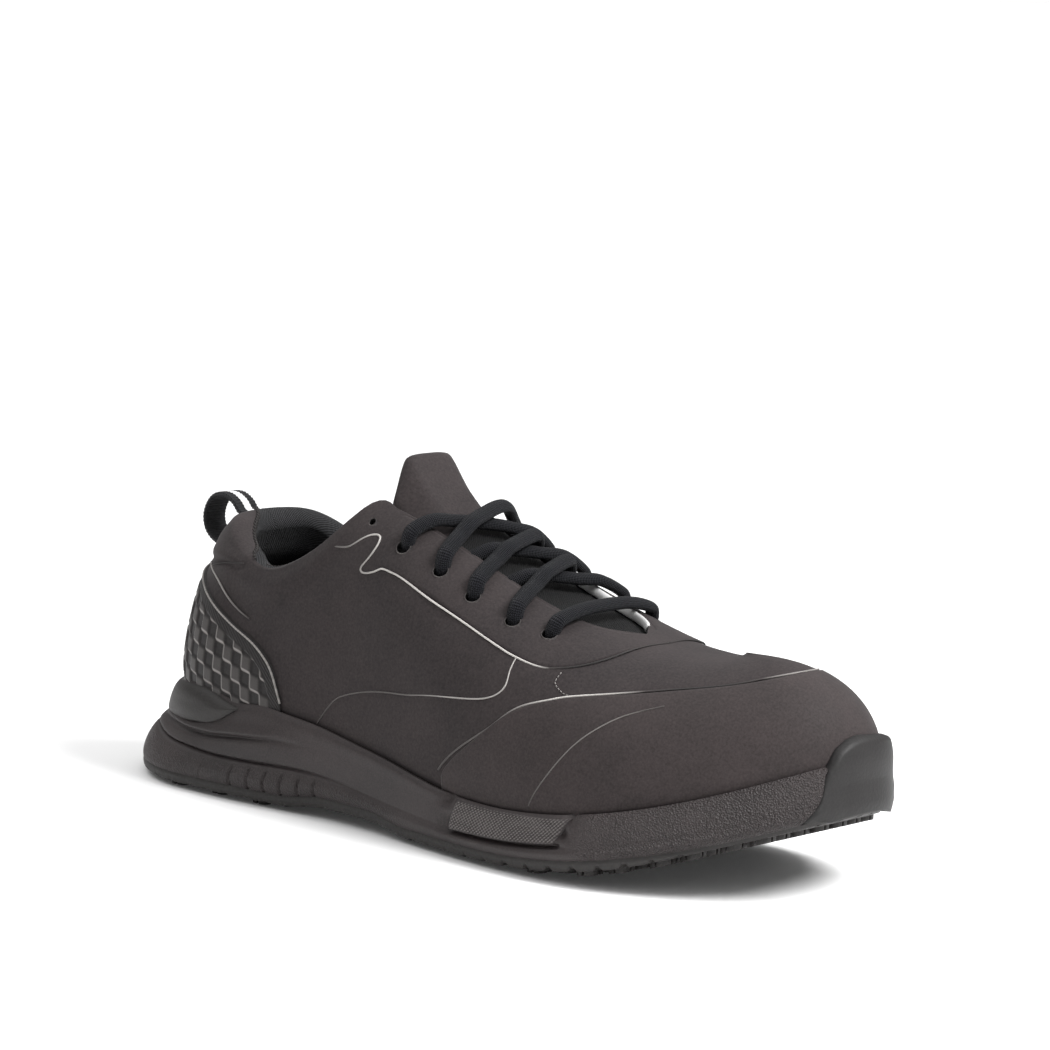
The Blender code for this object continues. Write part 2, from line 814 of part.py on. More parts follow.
def strand(name, start, stop, middle, finish):
    path = []
    ups = []
    count = 11
    for i in range(count + 1):
        v = i / count
        x = start[0] + (stop[0] - start[0]) * v
        y = start[1] + (stop[1] - start[1]) * v
        inside = smooth((throat_at(x) + 1.0 - abs(y)) / 8.0)
        ends = LACE_LIFT if v < 0.5 else finish
        p, n = over(x, y, ends + (middle - ends) * inside)
        path.append(p)
        ups.append(n)
    return tube(name, path, ups, "lace_textile")


LACE_LIFT = RIM_GAP + OVERLAY + LACE_HIGH + 0.6
spots = [[(x, -half), (x, half - 3.0)] for x, half in EYELETS]
strand("lace_bar", spots[5][0], spots[5][1], 3.0, LACE_LIFT)
for k, name in ((4, "lace_cross_1"), (3, "lace_cross_2"), (2, "lace_cross_3")):
    whole = k == 2
    edge = throat_at(EYELETS[k - 1, 0]) - 5.0
    far = spots[k - 1][1] if whole else (EYELETS[k - 1, 0], edge)
    near = spots[k - 1][0] if whole else (EYELETS[k - 1, 0], -edge)
    finish = LACE_LIFT if whole else 1.0
    body = strand(name, spots[k][0], far, 5.0, finish)
    under = strand(name + "_under", spots[k][1], near, 1.8, finish)
    boolean(body, under, "UNION")

# One parent puts the origin at the bottom centre of the whole.
corners = np.array([v.co[:] for body in made for v in body.data.vertices])
low = corners.min(axis=0)
high = corners.max(axis=0)
shift = np.array([-(low[0] + high[0]) / 2, -(low[1] + high[1]) / 2, -low[2]])
for body in made:
    for v in body.data.vertices:
        v.co = (v.co[0] + shift[0], v.co[1] + shift[1], v.co[2] + shift[2])
    body.data.update()
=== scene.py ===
import math

import bmesh
import bpy
import numpy as np
from mathutils import Matrix, Vector


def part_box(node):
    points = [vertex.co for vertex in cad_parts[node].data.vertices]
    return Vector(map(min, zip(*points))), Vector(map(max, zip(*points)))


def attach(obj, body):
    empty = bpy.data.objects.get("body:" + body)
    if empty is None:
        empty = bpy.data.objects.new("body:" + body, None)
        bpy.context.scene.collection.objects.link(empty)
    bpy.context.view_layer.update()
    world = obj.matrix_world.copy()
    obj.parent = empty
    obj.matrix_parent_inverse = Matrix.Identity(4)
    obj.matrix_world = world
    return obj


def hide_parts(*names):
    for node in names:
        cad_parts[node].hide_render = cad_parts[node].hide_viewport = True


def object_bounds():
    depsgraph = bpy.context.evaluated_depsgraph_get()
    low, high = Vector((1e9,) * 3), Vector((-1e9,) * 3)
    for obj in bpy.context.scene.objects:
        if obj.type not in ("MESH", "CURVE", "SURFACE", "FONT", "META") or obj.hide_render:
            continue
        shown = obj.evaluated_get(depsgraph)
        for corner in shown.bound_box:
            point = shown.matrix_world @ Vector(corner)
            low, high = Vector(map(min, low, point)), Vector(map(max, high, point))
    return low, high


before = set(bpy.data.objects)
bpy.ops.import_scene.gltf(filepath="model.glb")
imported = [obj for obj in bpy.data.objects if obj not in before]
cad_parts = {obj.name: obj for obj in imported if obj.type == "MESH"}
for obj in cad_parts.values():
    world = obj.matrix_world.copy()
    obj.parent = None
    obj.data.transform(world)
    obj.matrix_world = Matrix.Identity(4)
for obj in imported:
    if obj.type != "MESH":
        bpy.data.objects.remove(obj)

cadBox = [list(v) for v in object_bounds()]
mm = 0.001
# the shoe is drawn in millimetres, heel back at x 0, toe tip at x 300, lateral side at minus y
loopLow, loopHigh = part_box("pull_loop")
shoe = {
    "length": 300.0, "heel": 16.5, "toe": 294.0, "heelFlat": 20.0,
    "spring": 25.0, "springFrom": 188.0, "heelBevel": 4.0, "bevelReach": 16.0, "toeSwing": 12.0,
    "arch": 2.2, "archFrom": 92.0, "archTo": 152.0, "archEase": 18.0,
    "heelForward": 70.0, "heelReach": 72.0, "toeBack": 43.0, "toeReach": 88.0, "tuck": 2.0,
    "wall": 2.2, "collarPad": 4.0, "rim": 2.6, "plateTop": 5.0,
    # round ends in plan: heel radius, toe radius, heel power, toe power
    "lastRound": [38, 84, 2.1, 2.35], "soleRound": [44, 86, 2.15, 2.35],
}
origin = np.array([cadBox[1][0] / mm - shoe["length"], (loopLow.y + loopHigh.y) / 2 / mm, 0.0])
bothSides = ((-1, "lateral"), (1, "medial"))
# x, lateral half width, medial half width, crest height, section power
lastTable = [
    [0, 33, 31.5, 119, 2.0], [40, 34.5, 33.5, 119, 2.0], [80, 37.2, 34, 119, 2.3], [110, 37.5, 32, 113, 2.9],
    [135, 40, 32, 103, 3.3], [165, 45, 36, 89, 3.2], [195, 48.5, 42, 78, 2.9], [225, 49, 45.5, 71, 2.5],
    [250, 46, 46, 70, 2.3], [275, 43, 45, 71, 2.3], [300, 41, 43, 73, 2.4],
]
# x, lateral half width, medial half width of the sole
soleTable = [
    [0, 39, 38], [30, 42, 40], [70, 43.5, 40], [115, 41, 34.5], [150, 45, 35], [180, 50, 40],
    [205, 52.5, 46.5], [230, 52.5, 50], [260, 48.5, 50.5], [280, 46, 49.5], [300, 45, 48],
]
# x, footbed height over the ground line
footbedTable = [[0, 27], [60, 26], [110, 22], [150, 18], [200, 16], [300, 16]]
# x, sole rim over the footbed
biteTable = [
    [0, 6.5], [20, 7.6], [42, 9.3], [58, 8.4], [68, 7.4], [78, 8.9], [90, 9.0], [106, 8.8], [122, 8.0],
    [142, 7.2], [172, 4.2], [200, 3.8], [228, 4.2], [266, 5.3], [300, 7],
]
# x, groove height, groove depth
bandTable = [
    [0, 17, 1.8], [17, 16.6, 1.8], [28, 15.2, 1.8], [40, 14.5, 1.8], [50, 14.0, 1.8], [60, 13.8, 1.8],
    [70, 14.0, 1.8], [82, 14.4, 1.7], [94, 14.8, 1.4], [104, 14.8, 1.0], [114, 14.2, 0.6], [124, 13.4, 0.3],
    [150, 11.2, 0.1], [175, 10, 0.0], [300, 10, 0.0],
]
# x, lateral opening height, medial opening height
collarTable = [
    [0, 92, 92], [28, 91, 91.5], [46, 86, 87], [61, 81, 81.5], [73, 78.6, 78], [89, 84, 81.5], [98, 90.3, 88],
    [106, 98.5, 96], [113, 105.5, 104], [124, 110, 109],
]
# x, half spread of the throat and of the eyelets
throatTable = [[112, 20.5], [125, 20], [160, 16], [180, 15], [196, 13.5], [206, 9], [213, 0]]
eyeletTable = [[117, 26], [134, 28.5], [151, 29], [166, 30], [183, 30], [196, 27.5]]
# x, half spread and lift of the tongue
tongueTable = [
    [118, 21, 14], [121, 21.5, 12], [126, 22, 9], [134, 22, 4.5], [142, 22, 1.5], [150, 22, 0],
    [160, 22.5, 0], [180, 23.5, 0], [205, 20, 0], [226, 16, 0],
]


def curve(table, column):
    # natural cubic through one column of a table
    t = np.array(table, float)
    xs, ys = t[:, 0], t[:, column]
    n, h = len(xs), np.diff(xs)
    m, r = np.eye(n), np.zeros(n)
    for i in range(1, n - 1):
        m[i, i - 1:i + 2] = h[i - 1], 2 * (h[i - 1] + h[i]), h[i]
        r[i] = 6 * ((ys[i + 1] - ys[i]) / h[i] - (ys[i] - ys[i - 1]) / h[i - 1])
    k = np.linalg.solve(m, r)

    def value(x):
        x = np.clip(np.asarray(x, float), xs[0], xs[-1])
        i = np.clip(np.searchsorted(xs, x) - 1, 0, n - 2)
        a, b, d = xs[i + 1] - x, x - xs[i], h[i]
        bend = (k[i] * a ** 3 + k[i + 1] * b ** 3) / (6 * d)
        return bend + (ys[i] / d - k[i] * d / 6) * a + (ys[i + 1] / d - k[i + 1] * d / 6) * b
    return value


lastLateral, lastMedial = curve(lastTable, 1), curve(lastTable, 2)
crestAt, powerAt = curve(lastTable, 3), curve(lastTable, 4)
soleLateral, soleMedial = curve(soleTable, 1), curve(soleTable, 2)
bedAt, biteAt = curve(footbedTable, 1), curve(biteTable, 1)
bandAt, grooveAt = curve(bandTable, 1), curve(bandTable, 2)
collarLateral, collarMedial = curve(collarTable, 1), curve(collarTable, 2)
throatAt = curve(throatTable, 1)
tongueAt, tongueLift = curve(tongueTable, 1), curve(tongueTable, 2)


def clamp(v, low=0.0, high=1.0):
    return np.clip(v, low, high)


def smooth(v):
    v = clamp(v)
    return v * v * (3 - 2 * v)


def bump(v, width):
    return np.exp(-(v / width) ** 2)


def ground(x):
    along = (x - shoe["springFrom"]) / (shoe["length"] - shoe["springFrom"])
    rise = shoe["spring"] * clamp(along, 0, 1.2) ** 2
    return rise + shoe["heelBevel"] * clamp((shoe["bevelReach"] - x) / shoe["bevelReach"]) ** 2


def archRise(x):
    ease = shoe["archEase"]
    return shoe["arch"] * smooth((x - shoe["archFrom"]) / ease) * smooth((shoe["archTo"] - x) / ease)


def footbed(x):
    return bedAt(x) + ground(np.maximum(x, shoe["heelFlat"]))


def bandTop(x):
    return ground(np.maximum(x, shoe["heelFlat"])) + bandAt(x)


def axisY(x):
    return shoe["toeSwing"] * clamp((x - 120) / 180, 0, 1.2) ** 2


def rounded(x, heel, toe, rh, rt, nh, nt):
    a = clamp((heel + rh - x) / rh)
    b = clamp((x - toe + rt) / rt)
    return (1 - a ** nh) ** (1 / nh) * (1 - b ** nt) ** (1 / nt)


def lastX(s):
    return shoe["heel"] + (shoe["toe"] - shoe["heel"]) * (1 - np.cos(np.pi * s)) / 2


def soleX(s):
    return shoe["length"] * (1 - np.cos(np.pi * s)) / 2


def stationOf(x):
    along = (np.asarray(x, float) - shoe["heel"]) / (shoe["toe"] - shoe["heel"])
    return np.arccos(1 - 2 * clamp(along)) / np.pi


def soleStationOf(x):
    return np.arccos(1 - 2 * clamp(np.asarray(x, float) / shoe["length"])) / np.pi


def wrapRing(q):
    # ring position: 0 at the heel back, minus 1 to 0 on the lateral side, 0 to 1 on the medial side
    q = (np.asarray(q, float) + 1) % 2 - 1
    return np.abs(q), np.where(q < 0, -1.0, 1.0)


def feather(s, side):
    x = lastX(s)
    w = np.where(side < 0, lastLateral(x), lastMedial(x))
    return x, axisY(x) + side * (w * rounded(x, shoe["heel"], shoe["toe"], *shoe["lastRound"]))


def soleHalf(x, side):
    width = np.where(side < 0, soleLateral(x), soleMedial(x))
    return width * rounded(x, 0, shoe["length"], *shoe["soleRound"])


def soleEdge(s, side):
    x = soleX(s)
    return x, axisY(x) + side * soleHalf(x, side)


def crestLine(s):
    x = lastX(s)
    xc = x + shoe["heelForward"] * clamp(1 - (x - shoe["heel"]) / shoe["heelReach"]) ** 2
    xc = xc - shoe["toeBack"] * clamp((x - shoe["toe"] + shoe["toeReach"]) / shoe["toeReach"]) ** 2
    return xc, axisY(xc), crestAt(x)


def upperAt(q, a):
    q, a = np.broadcast_arrays(np.asarray(q, float), np.asarray(a, float))
    s, side = wrapRing(q)
    fx, fy = feather(s, side)
    cx, cy, cz = crestLine(s)
    n = powerAt(fx)
    z0 = footbed(fx)
    phi = clamp(a) * np.pi / 2
    h = np.sin(phi) ** (2 / n)
    g = 1 - np.maximum(np.cos(phi), 0) ** (2 / n) + shoe["tuck"] / 40 * clamp(1 - h / 0.22) ** 2
    return np.stack([fx + (cx - fx) * g, fy + (cy - fy) * g, z0 + (cz - z0) * h], -1)


def unit(v):
    return v / np.maximum(np.linalg.norm(v, axis=-1, keepdims=True), 1e-9)


def lengthAlong(points):
    # running length of a line of points
    return np.concatenate([[0], np.cumsum(np.linalg.norm(np.diff(points, axis=0), axis=-1))])


def fullRing(s):
    # shares of one side made into a ring: heel, lateral side, toe, medial side
    return np.concatenate([-s, s[-2:0:-1]])


def rolled(k):
    # quarter circle from an edge inwards
    return np.sqrt(1 - (1 - k) ** 2)


def upperNormal(q, a):
    q, a = np.broadcast_arrays(np.asarray(q, float), np.asarray(a, float))
    hi = np.minimum(a + 0.004, 1.0)
    lo = np.where(hi >= 1.0, 0.97, np.maximum(a - 0.004, 0.0))

    def once(p):
        return unit(np.cross(upperAt(p, hi) - upperAt(p, lo), upperAt(p + 0.003, a) - upperAt(p - 0.003, a)))
    n = once(q)
    return np.where((a > 0.999)[..., None], unit(n + once(-q)), n)


def skin(q, a, off):
    return upperAt(q, a) + np.asarray(off, float)[..., None] * upperNormal(q, a)


def atHeight(s, z):
    x = lastX(s)
    h = clamp((z - footbed(x)) / (crestAt(x) - footbed(x)))
    return np.arcsin(h ** (powerAt(x) / 2)) * 2 / np.pi


def atSpread(s, side, half):
    fx, fy = feather(s, side)
    k = clamp(half / np.maximum(np.abs(fy - crestLine(s)[1]), 0.001))
    return np.arccos(k ** (powerAt(fx) / 2)) * 2 / np.pi


def openingAt(q):
    s, side = wrapRing(q)
    x = lastX(s)
    back = atHeight(s, np.where(side < 0, collarLateral(x), collarMedial(x)))
    front = atSpread(s, side, np.maximum(throatAt(x), 0.0))
    k = smooth((x - 108) / 14)
    return np.where(x > throatTable[-1][0] - 0.01, 1.0, back * (1 - k) + front * k)


def acrossUpper(x, y, ridge):
    # ring position and level of a spot, from x and the distance to the crest line
    side = np.where(y <= 0, -1.0, 1.0)
    s = stationOf(x)
    return side * s, np.where(np.abs(y) > ridge, atSpread(s, side, np.abs(y)), 1.0)


def onUpper(q, a, off):
    return skin(q, a, off), upperNormal(q, a)


def outward(q):
    d = np.stack(soleEdge(*wrapRing(q + 0.004)), -1) - np.stack(soleEdge(*wrapRing(q - 0.004)), -1)
    return unit(np.stack([-d[..., 1], d[..., 0]], -1))


def solePoint(q, off, z):
    x, y = soleEdge(*wrapRing(q))
    n = outward(q)
    off = np.asarray(off, float)
    return np.stack(np.broadcast_arrays(x + off * n[..., 0], y + off * n[..., 1], z), -1)


def sideways(q):
    # outward as a direction in space, one per column of a grid
    return np.concatenate([outward(q), np.zeros((len(q), 1))], 1)[:, None]


def besideUpper(q, off, z):
    s = wrapRing(q)[0]
    p = upperAt(q, atHeight(s, np.maximum(z, footbed(lastX(s)))))
    n = outward(q)
    return np.stack(np.broadcast_arrays(p[..., 0] + off * n[..., 0], p[..., 1] + off * n[..., 1], z), -1)


def rimTop(q):
    x = lastX(wrapRing(q)[0])
    return footbed(x) + biteAt(x)


# the camera: fitted to the photo, 1.3 m off, slightly rolled
view = {"azimuth": 42.0, "elevation": 10.5, "roll": 2.2, "distance": 1300.0, "scale": 3.01,
        "aim": [150.0, 0.0, 45.0], "aimPixel": [493.0, 692.0], "frame": 1050.0, "sensor": 36.0}


def intoScene(name, data):
    made = bpy.data.objects.new(name, data)
    bpy.context.scene.collection.objects.link(made)
    return made


def placeCamera():
    az, el, roll = [math.radians(view[k]) for k in ("azimuth", "elevation", "roll")]
    back = Vector((math.sin(az) * math.cos(el), -math.cos(az) * math.cos(el), math.sin(el)))
    right = Vector((math.cos(az), math.sin(az), 0))
    up = back.cross(right)
    right, up = right * math.cos(roll) + up * math.sin(roll), up * math.cos(roll) - right * math.sin(roll)
    focal = view["scale"] * view["distance"]
    middle = view["frame"] / 2
    ahead = -back * focal + right * (middle - view["aimPixel"][0]) + up * (view["aimPixel"][1] - middle)
    ahead.normalize()
    right = (right - ahead * right.dot(ahead)).normalized()
    up = right.cross(ahead)
    place = (Vector(np.array(view["aim"]) + origin) + back * view["distance"]) * mm
    data = bpy.data.cameras.new("camera")
    data.sensor_width = view["sensor"]
    data.lens = focal / view["frame"] * view["sensor"]
    data.clip_end = 200.0
    camera = intoScene("camera", data)
    m = Matrix((right, up, -ahead)).transposed().to_4x4()
    m.translation = place
    camera.matrix_world = m
    bpy.context.scene.camera = camera


placeCamera()
print("camera placed")


def linear(text):
    # sRGB hex to linear
    v = [int(text[i:i + 2], 16) / 255 for i in (1, 3, 5)]
    return tuple(c / 12.92 if c <= 0.04045 else ((c + 0.055) / 1.055) ** 2.4 for c in v) + (1.0,)


def add(tree, kind, settings=None, **links):
    # one node with its settings; links are values or sockets, named by input with spaces taken out
    made = tree.nodes.new(kind)
    for key, value in (settings or {}).items():
        setattr(made, key, value)
    for key, value in links.items():
        socket = made.inputs[int(key[1:])] if key[0] == "i" and key[1:].isdigit() else \
            next(s for s in made.inputs if s.name.replace(" ", "") == key and s.enabled)
        if isinstance(value, bpy.types.NodeSocket):
            tree.links.new(value, socket)
        else:
            socket.default_value = value
    return made


def startMaterial(name, colour, roughness, **inputs):
    made = bpy.data.materials.new(name)
    made.use_nodes = True
    made.diffuse_color = linear(colour)
    shader = made.node_tree.nodes["Principled BSDF"]
    shader.inputs["Base Color"].default_value = linear(colour)
    shader.inputs["Roughness"].default_value = roughness
    for key, value in inputs.items():
        next(s for s in shader.inputs if s.name.replace(" ", "") == key).default_value = value
    return made, made.node_tree, shader


def maths(tree, operation, *values):
    links = {"i%d" % k: value for k, value in enumerate(values)}
    return add(tree, "ShaderNodeMath", {"operation": operation}, **links).outputs[0]


def wave(tree, source, period):
    # sine of a length in millimetres, from minus 1 to 1
    return maths(tree, "SINE", maths(tree, "MULTIPLY_ADD", source, 2 * math.pi / period, 0.0))


def ranged(tree, value, low, high, start=0.0, stop=1.0):
    return add(tree, "ShaderNodeMapRange", None, i0=value, i1=low, i2=high, i3=start, i4=stop).outputs[0]


def mixed(tree, share, first, second):
    return add(tree, "ShaderNodeMix", {"data_type": "RGBA"}, i0=share, i6=first, i7=second).outputs[2]


def tintBy(tree, shader, share, dark, light):
    tree.links.new(mixed(tree, share, linear(dark), linear(light)), shader.inputs["Base Color"])


def noise(tree, place, size, detail, roughness=0.5):
    # cloudy noise whose largest spots are about size millimetres
    made = add(tree, "ShaderNodeTexNoise", None, Vector=place, Scale=1 / (size * mm), Detail=detail,
               Roughness=roughness)
    return made.outputs["Fac"]


def objectPlace(tree):
    return add(tree, "ShaderNodeTexCoord").outputs["Object"]


def fadeOf(tree):
    return add(tree, "ShaderNodeAttribute", {"attribute_name": "fade"}).outputs["Fac"]


def flatOf(tree):
    # lengths along and across a piece
    flat = add(tree, "ShaderNodeUVMap", {"uv_map": "flat"}).outputs[0]
    made = add(tree, "ShaderNodeSeparateXYZ", None, Vector=flat)
    return made.outputs["X"], made.outputs["Y"]


def addBump(tree, shader, height, strength, distance):
    made = add(tree, "ShaderNodeBump", None, Strength=strength, Distance=distance * mm, Height=height)
    tree.links.new(made.outputs["Normal"], shader.inputs["Normal"])


def nappedMicrofibre(name, dark, light, roughness=0.82, grain=0.9, nap=0.16, pale=None):
    # suede-like microfibre, buffed: matt, faintly cloudy, with a soft sheen on turned edges
    made, tree, shader = startMaterial(name, dark, roughness, SheenWeight=0.06, SheenRoughness=0.5, IOR=1.46,
                                       SpecularIORLevel=0.2)
    place = objectPlace(tree)
    cloud = noise(tree, place, 26, 4.0, 0.6)
    fine = noise(tree, place, grain, 3.0, 0.7)
    share = ranged(tree, maths(tree, "MULTIPLY_ADD", fine, 1.4, cloud), 0.75, 1.65)
    tint = mixed(tree, share, linear(dark), linear(light))
    # pale is mixed in by the fade attribute: painted highlight on the heel film, pale weave crests on the
    # inserts
    if pale:
        tint = mixed(tree, fadeOf(tree), tint, linear(pale))
    tree.links.new(tint, shader.inputs["Base Color"])
    rough = ranged(tree, cloud, 0.3, 0.7, roughness - 0.06, roughness + 0.06)
    tree.links.new(rough, shader.inputs["Roughness"])
    addBump(tree, shader, fine, nap, 0.25)
    return made


def mouldedRubber(name, dark, light, roughness, grain, depth, fading=False):
    # moulded foam or rubber: even colour, satin, with the fine grain of an etched mould
    made, tree, shader = startMaterial(name, dark, roughness, IOR=1.5, SpecularIORLevel=0.36)
    place = objectPlace(tree)
    cloud = noise(tree, place, 30, 3.0)
    etched = add(tree, "ShaderNodeTexVoronoi", {"feature": "F1"}, Vector=place, Scale=1 / (grain * mm))
    speck = noise(tree, place, grain * 0.8, 2.0)
    share = ranged(tree, maths(tree, "MULTIPLY_ADD", speck, 1.2, cloud), 0.7, 1.5)
    tintBy(tree, shader, share, dark, light)
    height = etched.outputs["Distance"]
    if fading:
        height = maths(tree, "MULTIPLY", height, fadeOf(tree))
    addBump(tree, shader, height, 0.8, depth)
    return made


def knittedMesh(name, dark, light, pitch):
    # knitted spacer mesh: open cells painted dark as the shade inside them, with light threads between
    made, tree, shader = startMaterial(name, dark, 0.9, SheenWeight=0.05, SpecularIORLevel=0.15)
    along, across = flatOf(tree)
    cells = maths(tree, "MULTIPLY", wave(tree, along, pitch), wave(tree, across, pitch * 0.8))
    share = ranged(tree, cells, -0.5, 0.7)
    tintBy(tree, shader, share, dark, light)
    addBump(tree, shader, share, 0.7, 0.5)
    return made


def braidedCord(name, dark, light, pitch):
    # braided polyester: crossing strands at about 45 degrees
    made, tree, shader = startMaterial(name, dark, 0.8, SheenWeight=0.04, SheenRoughness=0.4,
                                       SpecularIORLevel=0.15)
    flat = flatOf(tree)
    lean, back = [wave(tree, maths(tree, way, *flat), pitch) for way in ("ADD", "SUBTRACT")]
    share = ranged(tree, maths(tree, "MULTIPLY", lean, back), -1.0, 1.0)
    tintBy(tree, shader, share, dark, light)
    addBump(tree, shader, share, 1.0, 0.5)
    return made


def edgeCut(name, dark, plain, pale):
    # raw cut edge of a panel, from painted shade through plain to pale, the pale partly bare fibre and partly
    # painted highlight
    made, tree, shader = startMaterial(name, plain, 0.75)
    ramp = add(tree, "ShaderNodeValToRGB", None, i0=fadeOf(tree))
    ramp.color_ramp.elements[0].color = linear(dark)
    ramp.color_ramp.elements[1].color = linear(pale)
    ramp.color_ramp.elements.new(0.5).color = linear(plain)
    tree.links.new(ramp.outputs[0], shader.inputs["Base Color"])
    return made


upperSkin = nappedMicrofibre("microfibre_upper", "#201c1d", "#383232")
filmSkin = nappedMicrofibre("microfibre_overlay", "#221e1e", "#3c3535", 0.74, 0.8, 0.12)
# the heel film's pale colour is painted highlight on the counter's cell flanks
heelFilm = nappedMicrofibre("moulded_heel_film", "#161414", "#2b2828", 0.55, 0.7, 0.10, "#b8b2ae")
liningKnit = knittedMesh("knitted_lining", "#0a0a0b", "#38383a", 1.3)
tongueKnit = knittedMesh("knitted_tongue", "#030303", "#171718", 1.2)
soleFoam = mouldedRubber("moulded_foam_smooth", "#201e1d", "#2d2a29", 0.55, 0.8, 0.05)
soleGrain = mouldedRubber("moulded_foam_grained", "#1e1a1a", "#383131", 0.56, 0.65, 0.8, fading=True)
soleRubber = mouldedRubber("moulded_rubber", "#1f1d1c", "#2a2726", 0.55, 1.0, 0.10)
# the tread's rubber in a darker copy for the bumper: painted shade
bumperRubber = mouldedRubber("moulded_bumper_rubber", "#161515", "#1e1c1c", 0.6, 1.0, 0.08)
# its pale colour goes on the raised crests of the weave
insertWeave = nappedMicrofibre("moulded_weave", "#252222", "#3d3838", 0.6, 0.8, 0.08, "#8a8583")
laceBraid = braidedCord("braided_lace", "#030304", "#202126", 1.2)
webbing = braidedCord("woven_webbing", "#0f0f10", "#38383a", 1.2)
paleFilm = startMaterial("reflective_film", "#c9c9c8", 0.42)[0]  # glass bead film, plain pale grey by day
# dark end painted shade, pale end partly painted highlight
edgeFibre = edgeCut("cut_edge", "#0f0d0d", "#302b2a", "#b5b1ad")
holeDark = startMaterial("eyelet_shade", "#080808", 0.9)[0]  # inside of a punched hole, no light gets in
print("materials made")


def gridUv(points):
    # lengths along and across a grid, in millimetres
    across = np.linalg.norm(np.diff(points, axis=1), axis=-1)
    v = np.concatenate([np.zeros((len(points), 1)), np.cumsum(across, 1)], 1)
    u = lengthAlong(points[:, points.shape[1] // 2])
    return np.stack([np.broadcast_to(u[:, None], v.shape), v], -1)


def gridFaces(ni, nj, closed=False, start=0):
    i = np.arange(ni if closed else ni - 1)[:, None]
    j = np.arange(nj - 1)[None, :]
    a, b = i * nj + j, ((i + 1) % ni) * nj + j
    return np.stack([a, b, b + 1, a + 1], -1).reshape(-1, 4) + start


def closedRing(ni, nj):
    # faces of a ring that runs heel, lateral side, toe, medial side, with strips over its open ends
    i = np.arange(ni // 2)
    caps = np.stack([i, i + 1, (ni - i - 1) % ni, (ni - i) % ni], -1) * nj
    return np.concatenate([gridFaces(ni, nj, closed=True), caps, caps + nj - 1])


def makePiece(name, points, faces, finishes, slots=None, uv=None, fade=None, replaced=(), slot=None,
              flatShade=False):
    points = np.asarray(points, float).reshape(-1, 3)
    faces = faces.tolist() if isinstance(faces, np.ndarray) else faces
    data = bpy.data.meshes.new(name)
    data.from_pydata(((points + origin) * mm).tolist(), [], [tuple(dict.fromkeys(f)) for f in faces])
    for finish in finishes:
        data.materials.append(finish)
    if slots is not None:
        data.polygons.foreach_set("material_index", np.asarray(slots, np.int32))
    corner = np.empty(len(data.loops), np.int32)
    data.loops.foreach_get("vertex_index", corner)
    if uv is not None:
        spread = np.asarray(uv, float).reshape(-1, 2)[corner].ravel()
        data.uv_layers.new(name="flat").data.foreach_set("uv", spread)
    if fade is not None:
        layer = data.attributes.new("fade", "FLOAT", "POINT")
        layer.data.foreach_set("value", np.asarray(fade, float).ravel())
    bm = bmesh.new()
    bm.from_mesh(data)
    bmesh.ops.remove_doubles(bm, verts=bm.verts[:], dist=0.00001)
    bmesh.ops.recalc_face_normals(bm, faces=bm.faces[:])
    bm.to_mesh(data)
    bm.free()
    if flatShade:
        data.shade_flat()
    else:
        data.shade_smooth()
    piece = intoScene(name, data)
    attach(piece, "root")
    if replaced:
        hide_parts(*replaced)
    return piece


def shellPiece(name, outer, inner, finishes, face=None, rest=0, **more):
    # two sheets over one grid, shut at the edge; face and rest number the finishes of outer and other faces
    ni, nj = outer.shape[:2]
    shift = ni * nj
    faces = [gridFaces(ni, nj), gridFaces(ni, nj, start=shift)[:, ::-1]]
    i = np.arange(ni - 1)
    for j in (0, nj - 1):
        a = i * nj + j
        faces.append(np.stack([a, a + nj, a + nj + shift, a + shift], -1))
    j = np.arange(nj - 1)
    for i in (0, ni - 1):
        a = i * nj + j
        faces.append(np.stack([a, a + 1, a + 1 + shift, a + shift], -1))
    uv = gridUv(outer)
    if "fade" in more:
        more["fade"] = np.concatenate([more["fade"].ravel(), np.zeros(shift)])
    points, faces = np.concatenate([outer.reshape(-1, 3), inner.reshape(-1, 3)]), np.concatenate(faces)
    if face is not None:
        more["slots"] = np.concatenate([face, np.full(len(faces) - len(face), rest)])
    return makePiece(name, points, faces, finishes, uv=np.concatenate([uv, uv]), **more)


def edgeDistance(points, free=(True, True, True, True)):
    # distance of each grid point from the free edges: first and last row, first and last column
    rims = [p for p, f in zip((points[0], points[-1], points[:, 0], points[:, -1]), free) if f]
    rim = np.concatenate(rims)
    flat = points.reshape(-1, 3)
    best = np.full(len(flat), 1e9)
    for k in range(0, len(rim), 200):
        d = np.linalg.norm(flat[:, None] - rim[None, k:k + 200], axis=-1).min(1)
        best = np.minimum(best, d)
    return best.reshape(points.shape[:2])


def overlayPiece(name, q, a, thick, edge, finish, free=(True, True, True, True), relief=0.0, **more):
    # a welded panel on the upper with a soft rolled edge that sinks into the surface
    base = upperAt(q, a)
    k = clamp(edgeDistance(base, free) / edge)
    lift = -0.25 + (thick + 0.25) * rolled(k)
    return shellPiece(name, skin(q, a, lift + relief * smooth(k * 0.8)), skin(q, a, -0.7), [finish], **more)


def rowsThrough(rows, fine):
    # smooth profile through given rows, along axis 1
    n = rows.shape[1]
    t = np.linspace(0, n - 1, (n - 1) * fine + 1)
    k = np.minimum(t.astype(int), n - 2)
    f = (t - k)[None, :, None]
    p0, p1, p2, p3 = [rows[:, np.clip(k + d, 0, n - 1)] for d in (-1, 0, 1, 2)]
    square, cube = 2 * p0 - 5 * p1 + 4 * p2 - p3, 3 * p1 - p0 - 3 * p2 + p3
    return 0.5 * (2 * p1 + (p2 - p0) * f + square * f ** 2 + cube * f ** 3)


def curvesThrough(rows):
    # one smooth curve per column, over the row number
    return [curve(np.column_stack([np.arange(len(rows)), rows[:, k]]), 1) for k in range(rows.shape[1])]


